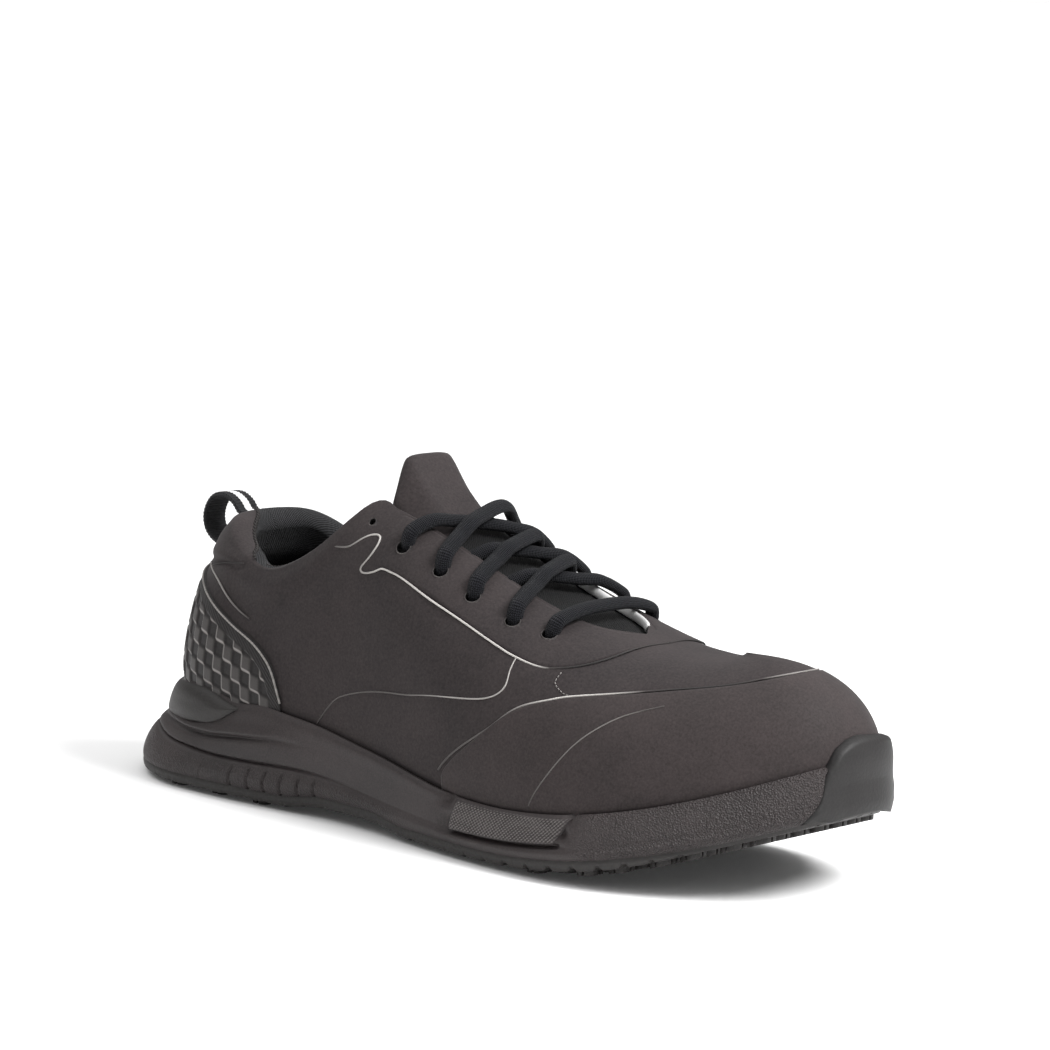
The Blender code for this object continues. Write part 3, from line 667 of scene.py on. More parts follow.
def columnsAt(at, run, rows):
    # a line of points or directions, read at given lengths
    return np.stack([np.interp(at, run, rows[:, k]) for k in range(3)], 1)


def gridBetween(low, high, share):
    # one row per station, spread from its low to its high value
    return low[:, None] + (high - low)[:, None] * share


# the upper: outer microfibre, padded collar, knitted inside
upperPlan = {"stations": 220, "outerRows": 60, "innerRows": 22, "rimRows": 22, "collarRoll": 1.2,
             "heelPad": 3.6, "tabSeam": 77.5, "crestRow": 7, "rimSwell": 0.6,
             # ring position, share of the rim that the microfibre covers before the knit starts
             "wrap": [[-1, 0.2], [-0.272, 0.2], [-0.255, 0.44], [-0.235, 0.60], [-0.20, 0.70], [-0.15, 0.70],
                      [-0.10, 0.62], [-0.06, 0.5], [-0.035, 0.34], [-0.015, 0.1], [0.0, 0.0], [0.36, 0.0],
                      [0.44, 0.2], [1, 0.2]]}


def upperRelief(q, a, f):
    # collar roll, the seam under the heel tab and slow waves of soft cloth
    x = lastX(wrapRing(q)[0])
    z = upperAt(q, a)[..., 2]
    pad = upperPlan["collarRoll"] * bump(f - 0.88, 0.10) * smooth((112 - x) / 16)
    tab = z - upperPlan["tabSeam"] - 0.06 * (x - 30) + 1.6 * bump(x - 58, 8)
    seam = (-0.7 * bump(tab, 0.9) + 0.5 * bump(tab - 2.6, 2.0)) * smooth((64 - x) / 6)
    slow = 0.16 * np.sin(x / 8.5 + z / 7.0) + 0.12 * np.sin(x / 5.1 - z / 9.0 + 1.3)
    return pad + seam + slow * smooth(f * 4) * smooth((1 - f) * 5)


def collarThick(x, g):
    pad = shoe["collarPad"] * smooth((112 - x) / 18) + upperPlan["heelPad"] * smooth((72 - x) / 20)
    return shoe["wall"] + pad * smooth((g - 0.5) / 0.35)


def buildUpper():
    s = np.linspace(0, 1, upperPlan["stations"] + 1)
    end = float(stationOf(throatTable[-1][0]))
    s[np.argmin(np.abs(s - end))] = end
    ring = fullRing(s)
    top = openingAt(ring)
    f = np.linspace(0, 1, upperPlan["outerRows"] + 1)[None]
    g = np.linspace(1, 0, upperPlan["innerRows"] + 1)[None]
    q = ring[:, None]
    outer = skin(q, top[:, None] * f, upperRelief(q, top[:, None] * f, f))
    x = lastX(np.abs(ring))[:, None]
    inner = skin(q, top[:, None] * g, -collarThick(x, g))
    inner[:, -1, 2] = outer[:, 0, 2]
    centre = (outer[:, -1] + inner[:, 0]) / 2
    half = (outer[:, -1] - inner[:, 0]) / 2
    rise = unit(outer[:, -1] - outer[:, -3]) * np.linalg.norm(half, axis=-1, keepdims=True)
    rise = rise * upperPlan["rimSwell"]
    turn = np.linspace(0, np.pi, upperPlan["rimRows"] + 1)[1:-1]
    rim = np.stack([centre + half * math.cos(t) + rise * math.sin(t) for t in turn], 1)
    cover = np.array(upperPlan["wrap"])
    cover = np.interp(ring, cover[:, 0], cover[:, 1])
    angle = np.pi * cover[:, None]
    border = centre + half * np.cos(angle) + rise * np.sin(angle)
    points = np.concatenate([outer, rim, inner], 1)
    ni, nj = points.shape[:2]
    faces = gridFaces(ni, nj, closed=True)
    row = np.tile(np.arange(nj - 1), ni)
    column = np.repeat(np.arange(ni), nj - 1)
    shut = (top >= 1) & (np.roll(top, -1) >= 1)
    first, last = outer.shape[1] - 1, outer.shape[1] - 1 + rim.shape[1] + 1
    keep = ~(shut[column] & (row >= first) & (row < last))
    here, ahead = np.arange(ni) * nj, np.roll(np.arange(ni), -1) * nj
    floor = np.stack([here, here + nj - 1, ahead + nj - 1, ahead], -1)
    wrap = first + np.round((last - first) * cover)
    slots = np.concatenate([(row[keep] >= wrap[column[keep]]).astype(int), np.zeros(ni, int)])
    edges = {"border": border, "crest": rim[:, upperPlan["crestRow"]], "ring": ring}
    piece = makePiece("upper_shell", points, np.concatenate([faces[keep], floor]), [upperSkin, liningKnit],
                      slots=slots, uv=gridUv(points), replaced=["upper"], slot="upper_microfibre")
    return piece, edges


upperPiece, collarEdges = buildUpper()
print("upper made")

# panels on the upper, their edges read off the photo: guard as x and level, counter as x and height
panelPlan = {
    "guard": [[168, 0.02], [187, 0.175], [198, 0.305], [208, 0.40], [217, 0.47], [232, 0.55], [249, 0.61],
              [268, 0.65], [294, 0.70]],
    "counter": [[16, 75], [27, 72.5], [44, 66.2], [55, 61.6], [65, 57.8], [73, 54.8], [79.5, 50.8],
                [84.5, 45], [88.5, 36]],
    # inner edge as x and half spread, outer edge as x and level
    "eyestay": [[115, 21, 117, 0.44], [134, 19.6, 134, 0.47], [152, 17.6, 152, 0.50], [167, 16.0, 167, 0.51],
                [183, 15.6, 188, 0.51], [196, 14.4, 202, 0.53], [206, 10.0, 212, 0.62], [211, 6.0, 219, 0.78],
                [214, 0.0, 223, 1.0]],
    "guardGrid": [120, 40], "counterGrid": [230, 92], "eyestayGrid": [170, 28], "counterFrom": 88.0,
    "thick": 0.5, "edge": 0.8, "counterThick": 1.2, "counterEdge": 1.3, "underRim": 2.0, "sunk": 0.35,
    "cellWide": 4.95, "cellTall": 5.2, "cellSlope": 0.18, "cellAt": [60.5, 46.1], "cellLift": 0.4,
    "cellShift": 2.3, "cellSharp": 3.2, "border": 4.6, "flankReach": 0.18, "flankGain": 0.55,
}
counterAt = curve(panelPlan["counter"], 1)


def chequer(run, z):
    # raised and sunk cells in turn, from minus 1 to 1, with soft flanks
    sharp = panelPlan["cellSharp"]
    across = np.sin(np.pi * (run + panelPlan["cellShift"]) / panelPlan["cellWide"])
    up = np.sin(np.pi * (z - panelPlan["cellAt"][1] + panelPlan["cellSlope"] * run) / panelPlan["cellTall"])
    return clamp(across * sharp, -1, 1) * clamp(up * sharp, -1, 1)


def hookLift(x):
    # 0 where the eyestay lies level with the quarter, 1 from the hook line on
    return smooth((x - 122) / 10)


def lowPanel(q, levelOf, gap, rows):
    # grid of a panel that runs from under the sole's rim up to a given level
    side = wrapRing(q)[0]
    low = atHeight(side, rimTop(q) - panelPlan["underRim"])
    high = np.maximum(levelOf(side), low + gap)
    a = gridBetween(low, high, np.linspace(0, 1, rows)[None])
    return np.broadcast_to(q[:, None], a.shape), a


def buildGuard():
    along, up = panelPlan["guardGrid"]
    s = np.linspace(float(stationOf(panelPlan["guard"][0][0])), 1, along)
    guardAt = curve(panelPlan["guard"], 1)
    q, a = lowPanel(np.concatenate([-s, -2 + s[-2::-1]]), lambda side: guardAt(lastX(side)), 0.01, up)
    overlayPiece("toe_guard_panel", q, a, panelPlan["thick"], panelPlan["edge"], filmSkin,
                 free=(True, True, False, True), replaced=["toe_guard"], slot="overlay_film")


def buildCounter():
    # thicker, with a chequer inside a plain border; pale painted highlight on one side of each cell flank,
    # faintly also on the raised cells
    along, up = panelPlan["counterGrid"]
    s = np.linspace(float(stationOf(panelPlan["counterFrom"])), 0, along)
    q = np.concatenate([-s, s[-2::-1]])
    q, a = lowPanel(q, lambda side: atHeight(side, counterAt(lastX(side))), 0.004, up)
    base = upperAt(q, a)
    share = np.linspace(0, 0.5, 600)
    length = lengthAlong(upperAt(share, 0.15))
    run = np.interp(np.abs(q), share, length)
    run = run - np.interp(float(stationOf(panelPlan["cellAt"][0])), share, length)
    inside = smooth((edgeDistance(base, (True, True, False, True)) - panelPlan["border"]) / 0.8)
    z = base[..., 2]
    cells = chequer(run, z)
    reach, gain = panelPlan["flankReach"], panelPlan["flankGain"]
    flank = clamp((chequer(run + reach, z) - chequer(run - reach, z)) * gain) \
        + clamp((chequer(run, z + reach) - chequer(run, z - reach)) * gain)
    rough = 0.12 * np.sin(run * 4.1) * np.sin(z * 4.3) * (1 - inside)
    # painted highlight: pale on one side of each cell flank, faintly on the raised cells
    paleMarks = clamp((0.95 * flank + 0.07 * clamp(cells)) * inside)
    relief = panelPlan["cellLift"] * cells * inside + rough
    overlayPiece("counter_panel", q, a, panelPlan["counterThick"], panelPlan["counterEdge"], heelFilm,
                 free=(False, False, False, True), relief=relief, fade=paleMarks, replaced=["counter"],
                 slot="overlay_film")


def buildEyestay():
    rows = np.array(panelPlan["eyestay"], float)
    steps, across = panelPlan["eyestayGrid"]
    i, middle = np.arange(steps + 1), steps // 2
    k = (len(rows) - 1) * (1 - np.abs(2 * i / steps - 1))
    side = np.where(i <= steps / 2, -1.0, 1.0)
    x0, spread, x1, level = [edge(k) for edge in curvesThrough(rows)]
    spread[middle] = 0.0
    level[middle] = 1.0
    a0 = atSpread(stationOf(x0), side, np.maximum(spread, 0.0))
    a0[middle] = 1.0
    j = np.linspace(0, 1, across)[None]
    x = gridBetween(x1, x0, j)
    a = np.minimum(gridBetween(level, a0, j), 1.0)
    thick = -panelPlan["sunk"] + (panelPlan["sunk"] + panelPlan["thick"]) * hookLift(x)
    overlayPiece("eyestay_panel", side[:, None] * stationOf(x), a, thick, panelPlan["edge"], upperSkin,
                 replaced=["eyestay"], slot="overlay_film")


buildGuard()
buildCounter()
buildEyestay()
print("panels made")

# the sole: smooth cradle with grooves and ribs, grained forefoot wall
solePlan = {
    "stations": 170, "fineFrom": 52.0, "fineTo": 114.0, "fineStep": 0.42, "rowSteps": 10, "footing": 0.3,
    "ribs": [56.3, 70.8, 79.0, 86.4, 93.8, 101.4, 108.4], "ribDepth": 1.0, "ribHalf": 0.5, "ribLean": 0.25,
    "second": [[14, 20.3], [37, 20.4], [46.5, 19.9], [55.5, 20.1], [69, 21.6], [82, 22.9], [90, 23.7],
               [100, 23.8], [120, 24]],
    "secondDepth": 2.0, "secondHalf": 0.68, "foldBulge": 0.9, "clipGroove": 1.4, "insertGroove": 2.4,
    "toeCut": 10.0,
    # ring share and height of the seam over the toe bumper
    "bumper": [[0.886, 25.6], [0.8935, 27.8], [0.9025, 30.4], [0.911, 32.8], [0.9195, 37], [0.9255, 41],
               [0.9305, 42.4], [0.9355, 43.6], [0.9435, 46.2], [0.954, 48.8], [0.976, 51.2], [0.9955, 52],
               [1.02, 52]],
    "insertFrom": 174.6, "insertLow": 9.0, "insertTo": 222.0, "insertSlant": 5.0,
}
secondAt = curve(solePlan["second"], 1)


def lowPoint(q, off, up):
    # a point of the sole's foot, over the ground line and the arch
    p = solePoint(q, off, 0.0)
    p[..., 2] = ground(p[..., 0]) + archRise(p[..., 0]) + up
    return p


def wallRows(q):
    # the side wall from tread to rim in ten rows; round the heel it swells low down and leans in above
    x = soleX(wrapRing(q)[0])
    bottom = ground(x) + archRise(x) + shoe["plateTop"] + solePlan["footing"]
    band = bandTop(x)
    depth, top = grooveAt(x), rimTop(q)
    heel = smooth((90 - x) / 75)
    flare = smooth((150 - x) / 60) * (1 - heel)
    edge = solePoint(q, -0.5 - 5.5 * heel, band + 1.4)
    rim = besideUpper(q, shoe["rim"] - heel, top)
    rows = [
        lowPoint(q, -1.4 + 1.2 * heel, shoe["plateTop"] + solePlan["footing"]),
        solePoint(q, -0.5 + 0.3 * heel + 0.5 * flare, bottom + 0.2 * (band - bottom)),
        solePoint(q, flare - 1.5 * heel, bottom + 0.55 * (band - bottom)),
        solePoint(q, -0.3 + 0.6 * flare - 0.4 * depth - 3.2 * heel, band - 0.7),
        solePoint(q, -0.5 - depth - 4.2 * heel, band + 0.3),
        solePoint(q, -0.5 - 0.4 * depth - 4.6 * heel, band + 1.4),
    ]
    for v in (0.3, 0.6, 0.86):
        p = edge + (rim - edge) * (v ** (1.4 - 0.85 * heel))[..., None]
        p[..., 2] = edge[..., 2] + (top - edge[..., 2]) * v
        rows.append(p)
    rows.append(besideUpper(q, shoe["rim"] - 0.9 - heel, top))
    return np.stack(rows, 1)


def wallAt(q, z):
    # points on the smooth wall at given heights; q one per column, z a row of heights per column
    fine = rowsThrough(wallRows(q), 4)
    out = np.empty(z.shape + (3,))
    for i in range(len(q)):
        up = np.maximum.accumulate(fine[i, :, 2])
        for k in range(2):
            out[i, :, k] = np.interp(z[i], up, fine[i, :, k])
        out[i, :, 2] = z[i]
    return out


# heel clip: a low dome round the heel; sole x, lower edge, upper edge
clipTable = [
    [0, 22.0, 33.4], [15, 22.2, 34.0], [26, 22.5, 35.4], [35, 22.7, 35.6], [43, 23.3, 34.4], [48, 23.9, 33.2],
    [53, 26.0, 32.2], [57, 29.4, 31.6], [58.5, 31.0, 31.4],
]
clipPlan = {"along": 90, "up": 34, "edge": 5.5, "sunk": 0.6, "dome": 2.6, "deep": 1.5}
clipLow, clipHigh = curve(clipTable, 1), curve(clipTable, 2)


def insertEdge(x, z):
    # distance from the insert's outline in millimetres, above zero inside it
    up = z - ground(x)
    slant = solePlan["insertTo"] + solePlan["insertSlant"] * clamp((up - 9) / 11)
    left, right, low = x - solePlan["insertFrom"], slant - x, up - solePlan["insertLow"] - 0.02 * (x - 175)
    return np.minimum(np.minimum(left, right), low)


def wallCut(ring, x, z):
    # how far ribs, folds and seams are cut into the wall
    band = bandTop(x)
    lean = solePlan["ribLean"] * (band - z - 4)
    cut = sum(bump(x - c + lean, solePlan["ribHalf"]) for c in solePlan["ribs"]) * solePlan["ribDepth"]
    cut = cut * smooth((band - 0.6 - z) / 2.0) * smooth((x - 46) / 30)
    fold = smooth((x - 12) / 12) * smooth((106 - x) / 40)
    over = z - secondAt(x)
    cut = cut + (solePlan["secondDepth"] * bump(over, solePlan["secondHalf"])
                 - solePlan["foldBulge"] * bump(over - 2.0, 2.0)) * fold
    cut = cut + solePlan["clipGroove"] * bump(z - clipLow(x) + 0.1, 0.7) * smooth((59 - x) / 4)
    seam = bump(insertEdge(x, z) - 0.1, 0.85) * smooth((z - ground(x) - 7) / 1.5)
    front = bumperStation(ring)
    toe = smooth((bumperTop(front)[:, None] - z - 0.6) / 0.8) * (front > 0.888)[:, None]
    return cut + solePlan["insertGroove"] * seam + solePlan["toeCut"] * toe


def buildMidsole():
    s = np.unique(np.concatenate([
        np.linspace(0, 1, solePlan["stations"] + 1),
        soleStationOf(np.arange(solePlan["fineFrom"], solePlan["fineTo"], solePlan["fineStep"])),
        np.arange(0.824, 0.884, 0.0015), np.arange(0.884, 0.935, 0.0009)]))  # closer round the bumper's ends
    ring = fullRing(s)
    rows = rowsThrough(wallRows(ring), solePlan["rowSteps"])
    rows -= wallCut(ring, rows[..., 0], rows[..., 2])[..., None] * sideways(ring)
    top, floor = rimTop(ring), footbed(lastX(np.abs(ring)))
    inside = np.stack([besideUpper(ring, 0.2, top - 0.4), besideUpper(ring, -0.6, top - 3.0),
                       besideUpper(ring, -0.6, floor + 0.2)], 1)
    points = np.concatenate([rows, inside], 1)
    x, z = points[..., 0], points[..., 2]
    low = smooth((bandTop(x) - z) / 2) * smooth((165 - x) / 30)
    grain = np.maximum(smooth((x - 224) / 12), 0.4 * low)
    makePiece("midsole_wall", points, closedRing(*points.shape[:2]), [soleGrain], uv=gridUv(points),
              fade=grain, replaced=["midsole"], slot="midsole_foam")


def buildClip():
    s = np.linspace(0, float(soleStationOf(clipTable[-1][0])), clipPlan["along"])
    q = np.concatenate([-s[::-1], s[1:]])
    x = soleX(np.abs(q))
    base = wallAt(q, gridBetween(clipLow(x), clipHigh(x), np.linspace(0, 1, clipPlan["up"])[None]))
    k = clamp(edgeDistance(base) / clipPlan["edge"])
    lift = -clipPlan["sunk"] + clipPlan["dome"] * rolled(k)
    out = sideways(q)
    shellPiece("heel_clip_dome", base + out * lift[..., None], base - out * clipPlan["deep"], [soleFoam],
               replaced=["heel_clip"], slot="midsole_foam")


# side inserts: a woven look moulded in fine relief
insertPlan = {"along": 140, "up": 30, "weave": 0.2, "weavePitch": [1.5, 1.25], "sunk": 0.5, "dome": 0.75,
              "deep": 1.5, "wear": 4.5}


def buildInserts():
    v = np.linspace(0, 1, insertPlan["up"])[None]
    across, upright = insertPlan["weavePitch"]
    for side, label in bothSides:
        x0 = np.linspace(solePlan["insertFrom"] + 1.3, solePlan["insertTo"] - 0.7, insertPlan["along"])
        x = x0[:, None] + solePlan["insertSlant"] * smooth((x0[:, None] - 196) / 30) * v
        q = side * soleStationOf(x0)
        low = ground(x0) + solePlan["insertLow"] + 0.02 * (x0 - 175) + 0.7
        z = gridBetween(low, rimTop(q) - 0.5, v)
        columns = [wallAt(side * soleStationOf(x[:, j]), z[:, j:j + 1])[:, 0] for j in range(v.shape[1])]
        base = np.stack(columns, 1)
        weave = np.sin(2 * np.pi * x / across) * np.sin(2 * np.pi * (z - ground(x)) / upright)
        weave = insertPlan["weave"] * weave
        k = clamp(edgeDistance(base) / 1.0)
        lift = -insertPlan["sunk"] + insertPlan["dome"] * rolled(k) + weave * k
        out = sideways(q)
        outer, inner = base + out * lift[..., None], base - out * insertPlan["deep"]
        # pale on the raised crests of the weave
        paleMarks = clamp(weave * insertPlan["wear"] * k)
        shellPiece("side_insert_weave_" + label, outer, inner, [insertWeave], fade=paleMarks,
                   replaced=["side_insert_" + label], slot="midsole_foam")


# toe bumper: from the wall's own surface at its ends out to a fuller, upright nose
bumperPlan = {"from": 0.8885, "span": 0.283, "along": 260, "up": 46, "medialShift": 0.06, "shiftEase": 0.12,
              "dip": 2.4, "inset": 3.3, "swell": 0.9, "edge": 1.8, "edgeDrop": 2.4, "tuckUnder": 0.7}


def bumperStation(q):
    # ring share, shifted on the medial side, where the bumper reaches further round
    s, side = wrapRing(q)
    return s + np.where(side > 0, bumperPlan["medialShift"], 0.0) * smooth((1 - s) / bumperPlan["shiftEase"])


def bumperTop(s):
    # upper edge of the toe bumper by ring position: an s-shaped seam up to a flat top
    spots = np.array(solePlan["bumper"])
    return sum(np.interp(s + d, spots[:, 0], spots[:, 1]) for d in (-0.004, -0.002, 0.0, 0.002, 0.004)) / 5


def buildBumper():
    q = -bumperPlan["from"] - bumperPlan["span"] * np.linspace(0, 1, bumperPlan["along"])
    share = bumperStation(q)
    low = ground(soleX(wrapRing(q)[0])) + shoe["plateTop"] + solePlan["footing"]
    low = low - bumperPlan["dip"] * smooth((share - 0.9) / 0.04)
    high = np.maximum(bumperTop(share), low + 0.4)
    z = gridBetween(low, high, np.linspace(0, 1, bumperPlan["up"])[None])
    top, across = rimTop(q)[:, None], q[:, None]
    wall = np.where((z < top)[..., None], wallAt(q, np.minimum(z, top)), besideUpper(across, 1.6, z))
    t = (clamp((z - 31) / 21) ** 1.2)[..., None]
    inset = -bumperPlan["inset"] * smooth((share - 0.885) / 0.085)[:, None]
    full = solePoint(across, inset, z) * (1 - t) + besideUpper(across, 2.6, z) * t
    w = smooth((share - 0.893) / 0.04)[:, None, None]
    outer = wall * (1 - w) + full * w
    k = clamp(edgeDistance(outer, (True, True, False, True)) / bumperPlan["edge"])
    under = clamp(1 - (z - low[:, None]) / 4.0) ** 2
    lift = bumperPlan["swell"] - bumperPlan["edgeDrop"] * (1 - rolled(k)) - bumperPlan["tuckUnder"] * under
    outer = outer + sideways(q) * lift[..., None]
    shellPiece("toe_bumper_skin", outer, besideUpper(across, -0.4, z), [bumperRubber],
               replaced=["toe_bumper"], slot="outsole_rubber")


buildMidsole()
buildClip()
buildInserts()
buildBumper()
print("sole walls made")

# the tread: a plate with rounded blocks, each cut by a cross
treadPlan = {
    "stations": 360, "block": 7.2, "slit": 0.8, "round": 2.4, "pitch": 8.6, "rowPitch": 0.93, "columns": 7,
    # from, to, number of bands, bare middle
    "bands": [[14, 94, 4, 0.10], [146, 284, 7, 0.0]],
    "groove": 4.5, "reach": 0.90, "notch": 9.0, "notchDeep": 1.2,
    "thin": 2.4, "thinFrom": 232.0, "thinOver": 45.0,  # the tread thins out to the toe
    "toeInset": 5.5, "heelSwell": 1.2,
    # offset, height and share of the toe's inset for each row of the plate
    "plate": [[-5.0, 1.6, 1], [-2.6, 1.7, 1], [-1.7, 2.6, 1], [-1.3, 4.1, 0.9], [-1.4, 5.35, 0.7]],
    "rings": [[0.90, 0.0], [1.0, 0.45], [1.0, 3.6]],  # size and height of a block's outline, from its sole up
}


def treadLift(x):
    return treadPlan["thin"] * smooth((x - treadPlan["thinFrom"]) / treadPlan["thinOver"])


def blockSpots():
    # centres of the tread blocks: x, offset from the middle line
    half = treadPlan["block"] / 2
    for first, last, bands, bare in treadPlan["bands"]:
        step = (last - first) / bands
        for band, row in ((b, r) for b in range(bands) for r in range(2)):
            x = first + step * band + (step - treadPlan["groove"]) / 2
            x = x + (row - 0.5) * treadPlan["pitch"] * treadPlan["rowPitch"]
            for k in range(-treadPlan["columns"], treadPlan["columns"] + 1):
                off = (k + 0.5 * row) * treadPlan["pitch"]
                reach = float(soleHalf(x, -1.0 if off < 0 else 1.0)) * treadPlan["reach"]
                if abs(off) + half <= reach and abs(off) >= bare * 40 + (half if bare else 0):
                    yield x, off


def buildOutsole():
    ring = fullRing(np.linspace(0, 1, treadPlan["stations"] + 1))
    x = soleX(np.abs(ring))
    toe = treadPlan["toeInset"] * smooth((np.abs(ring) - 0.75) / 0.17)
    toe = toe - treadPlan["heelSwell"] * smooth((90 - x) / 75)
    rows = np.stack([lowPoint(ring, off - toe * part, up + 0.25 * toe * (1 - part))
                     for off, up, part in treadPlan["plate"]], 1)
    wave = np.cos(2 * np.pi * lengthAlong(rows[:, 2]) / treadPlan["notch"])
    notch = treadPlan["notchDeep"] * smooth((wave - 0.7) / 0.25)
    lift = notch * (0.3 + 0.7 * smooth((x - 170) / 40)) + treadLift(x)
    rows[..., 2] += lift[:, None] * np.array([1.0, 1.0, 0.8, 0.0, 0.0])[None]
    rows = rowsThrough(rows, 3)
    points, faces = [rows.reshape(-1, 3)], closedRing(*rows.shape[:2]).tolist()
    count = len(points[0])
    h, g, r = treadPlan["block"] / 2, treadPlan["slit"] / 2, treadPlan["round"]
    arc = [(h - r + r * math.cos(t), h - r + r * math.sin(t)) for t in np.linspace(0, math.pi / 2, 5)]
    quarter = np.array([(g, g), (h, g)] + arc + [(g, h)])
    middle, n = quarter.mean(0), len(quarter)
    for x0, off in blockSpots():
        wavy = 1.2 * math.sin(off / 7.0)
        for sx, sy in ((1, 1), (-1, 1), (-1, -1), (1, -1)):
            for size, up in treadPlan["rings"]:
                local = middle + (quarter - middle) * size
                x, y = x0 + wavy + sx * local[:, 0], axisY(x0) + off + sy * local[:, 1]
                points.append(np.stack([x, y, ground(x) + up + treadLift(x)], 1))
            for a, m in ((count + level * n, m) for level in range(2) for m in range(n)):
                faces.append((a + m, a + (m + 1) % n, a + (m + 1) % n + n, a + m + n))
            faces += [tuple(range(count, count + n)), tuple(range(count + 2 * n, count + 3 * n))]
            count += 3 * n
    makePiece("outsole_tread", np.concatenate(points), faces, [soleRubber], replaced=["outsole"],
              slot="outsole_rubber", flatShade=True)


buildOutsole()
print("tread made")

# tongue: a padded tab in microfibre over dark knit, and the insole
tonguePlan = {"from": 117.2, "to": 226.0, "along": 110, "across": 48, "edge": 3.0, "knitFrom": 141.0,
              "seamX": 137.5, "under": 0.7, "edgeDrop": 1.7, "pad": 3.5, "crown": 2.6, "lift": 0.85}
insolePlan = {"stations": 121, "rows": [[0.9, 0.4], [0.7, 2.6], [1.6, 4.2], [5.0, 4.3]]}  # inset, height


def buildTongue():
    x = np.linspace(tonguePlan["from"], tonguePlan["to"], tonguePlan["along"])[:, None]
    f = np.linspace(-1, 1, tonguePlan["across"] + 1)[None]
    y = tongueAt(x) * f
    q, a = acrossUpper(x, y, 0.01)
    up = np.zeros(y.shape + (3,))
    inside = throatAt(x) - np.abs(y)
    up[..., 2] = tonguePlan["lift"] * tongueLift(x) * smooth((inside - 0.5) / 10)
    up[..., 2] += tonguePlan["crown"] * smooth((128 - x) / 10) * smooth((inside - 0.3) / 2.0)
    up[..., 0] = clamp((126 - x) / 9) ** 2 * np.abs(f) ** 2.5  # the top corners are rounded off
    k = clamp(edgeDistance(upperAt(q, a) + up) / tonguePlan["edge"])
    roll = 1 - rolled(k)
    seam = 0.5 * bump(x - tonguePlan["seamX"] - 2.0 * f ** 2, 0.8)
    off = -shoe["wall"] - tonguePlan["under"]
    outer = skin(q, a, off - tonguePlan["edgeDrop"] * roll - seam) + up
    inner = skin(q, a, off - tonguePlan["pad"] + 0.8 * np.abs(f) + 1.2 * roll) + up
    ni, nj = outer.shape[:2]
    knit = (x[np.repeat(np.arange(ni - 1), nj - 1), 0] > tonguePlan["knitFrom"]).astype(int)
    piece = shellPiece("tongue_pad", outer, inner, [upperSkin, tongueKnit], knit, 1, replaced=["tongue"],
                       slot="upper_microfibre")


def buildInsole():
    ring = fullRing(np.linspace(0, 1, insolePlan["stations"]))
    base, n = upperAt(ring, 0.0), upperNormal(ring, 0.02)
    n[:, 2] = 0
    n = unit(n)
    floor = footbed(lastX(np.abs(ring)))
    rows = []
    for off, up in insolePlan["rows"]:
        p = base - n * (shoe["wall"] + off)
        p[:, 2] = floor + up
        rows.append(p)
    points = rowsThrough(np.stack(rows, 1), 3)
    uv = points[..., :2] - points[..., :2].min()
    piece = makePiece("insole_pad", points, closedRing(*points.shape[:2]), [liningKnit], uv=uv,
                      replaced=["insole"], slot="lining_textile")


buildTongue()
buildInsole()
print("tongue and insole made")


def alongPath(points, step):
    # a smooth path through points, cut into even steps
    fine = rowsThrough(np.asarray(points, float)[None], 24)[0]
    run = lengthAlong(fine)
    at = np.linspace(0, run[-1], max(4, int(run[-1] / step)) + 1)
    return columnsAt(at, run, fine), at


def tubeGrid(path, ups, wide, high, sides):
    # points and faces of an oval tube with shut ends
    t = unit(np.gradient(path, axis=0))
    w = unit(np.cross(t, ups))
    u = np.cross(w, t)
    f = np.linspace(0, 2 * np.pi, sides, endpoint=False)
    points = path[:, None] + w[:, None] * (wide[:, None] * np.cos(f))[..., None] \
        + u[:, None] * (high[:, None] * np.sin(f))[..., None]
    end = (len(path) - 1) * sides
    i, j = np.arange(0, end, sides)[:, None], np.arange(sides)[None]
    k = (j + 1) % sides
    faces = np.stack([i + j, i + sides + j, i + sides + k, i + k], -1).reshape(-1, 4).tolist()
    return points, faces + [list(range(sides)), list(range(end, end + sides))]


def tubePiece(name, path, at, ups, wide, high, finish, sides=8, fade=None, **more):
    # a thread or cord along a path
    wide, high = np.broadcast_to(wide, len(path)), np.broadcast_to(high, len(path))
    points, faces = tubeGrid(path, ups, wide, high, sides)
    around = np.abs(np.arange(sides) / sides - 0.5) * (np.pi * (wide + high))[:, None]
    uv = np.stack([np.broadcast_to(at[:, None], around.shape), around], -1)
    if fade is not None:
        fade = np.repeat(fade, sides)
    return makePiece(name, points, faces, [finish], uv=uv, fade=fade, **more)


# pull loop: ribbed webbing with a pale stripe down the middle
loopPlan = {
    "half": 5.0, "thick": 0.8, "stripe": 1.6, "rib": 1.3, "ribHigh": 0.16, "step": 0.4,
    # height and distance from the heel of the two feet
    "topFoot": [[85.5, 1.0], [88.8, 2.6]], "lowFoot": [[77.8, 2.6], [75.5, 1.9]],
    # x, z of the ring between its two feet
    "ring": [[30.9, 92.0], [28.4, 94.6], [24.2, 96.4], [19.3, 95.8], [15.9, 92.6], [14.4, 88.0], [15.7, 83.4],
             [19.8, 80.2]],
}


def backOf(z, off):
    return skin(0.0, atHeight(0.0, z), off)


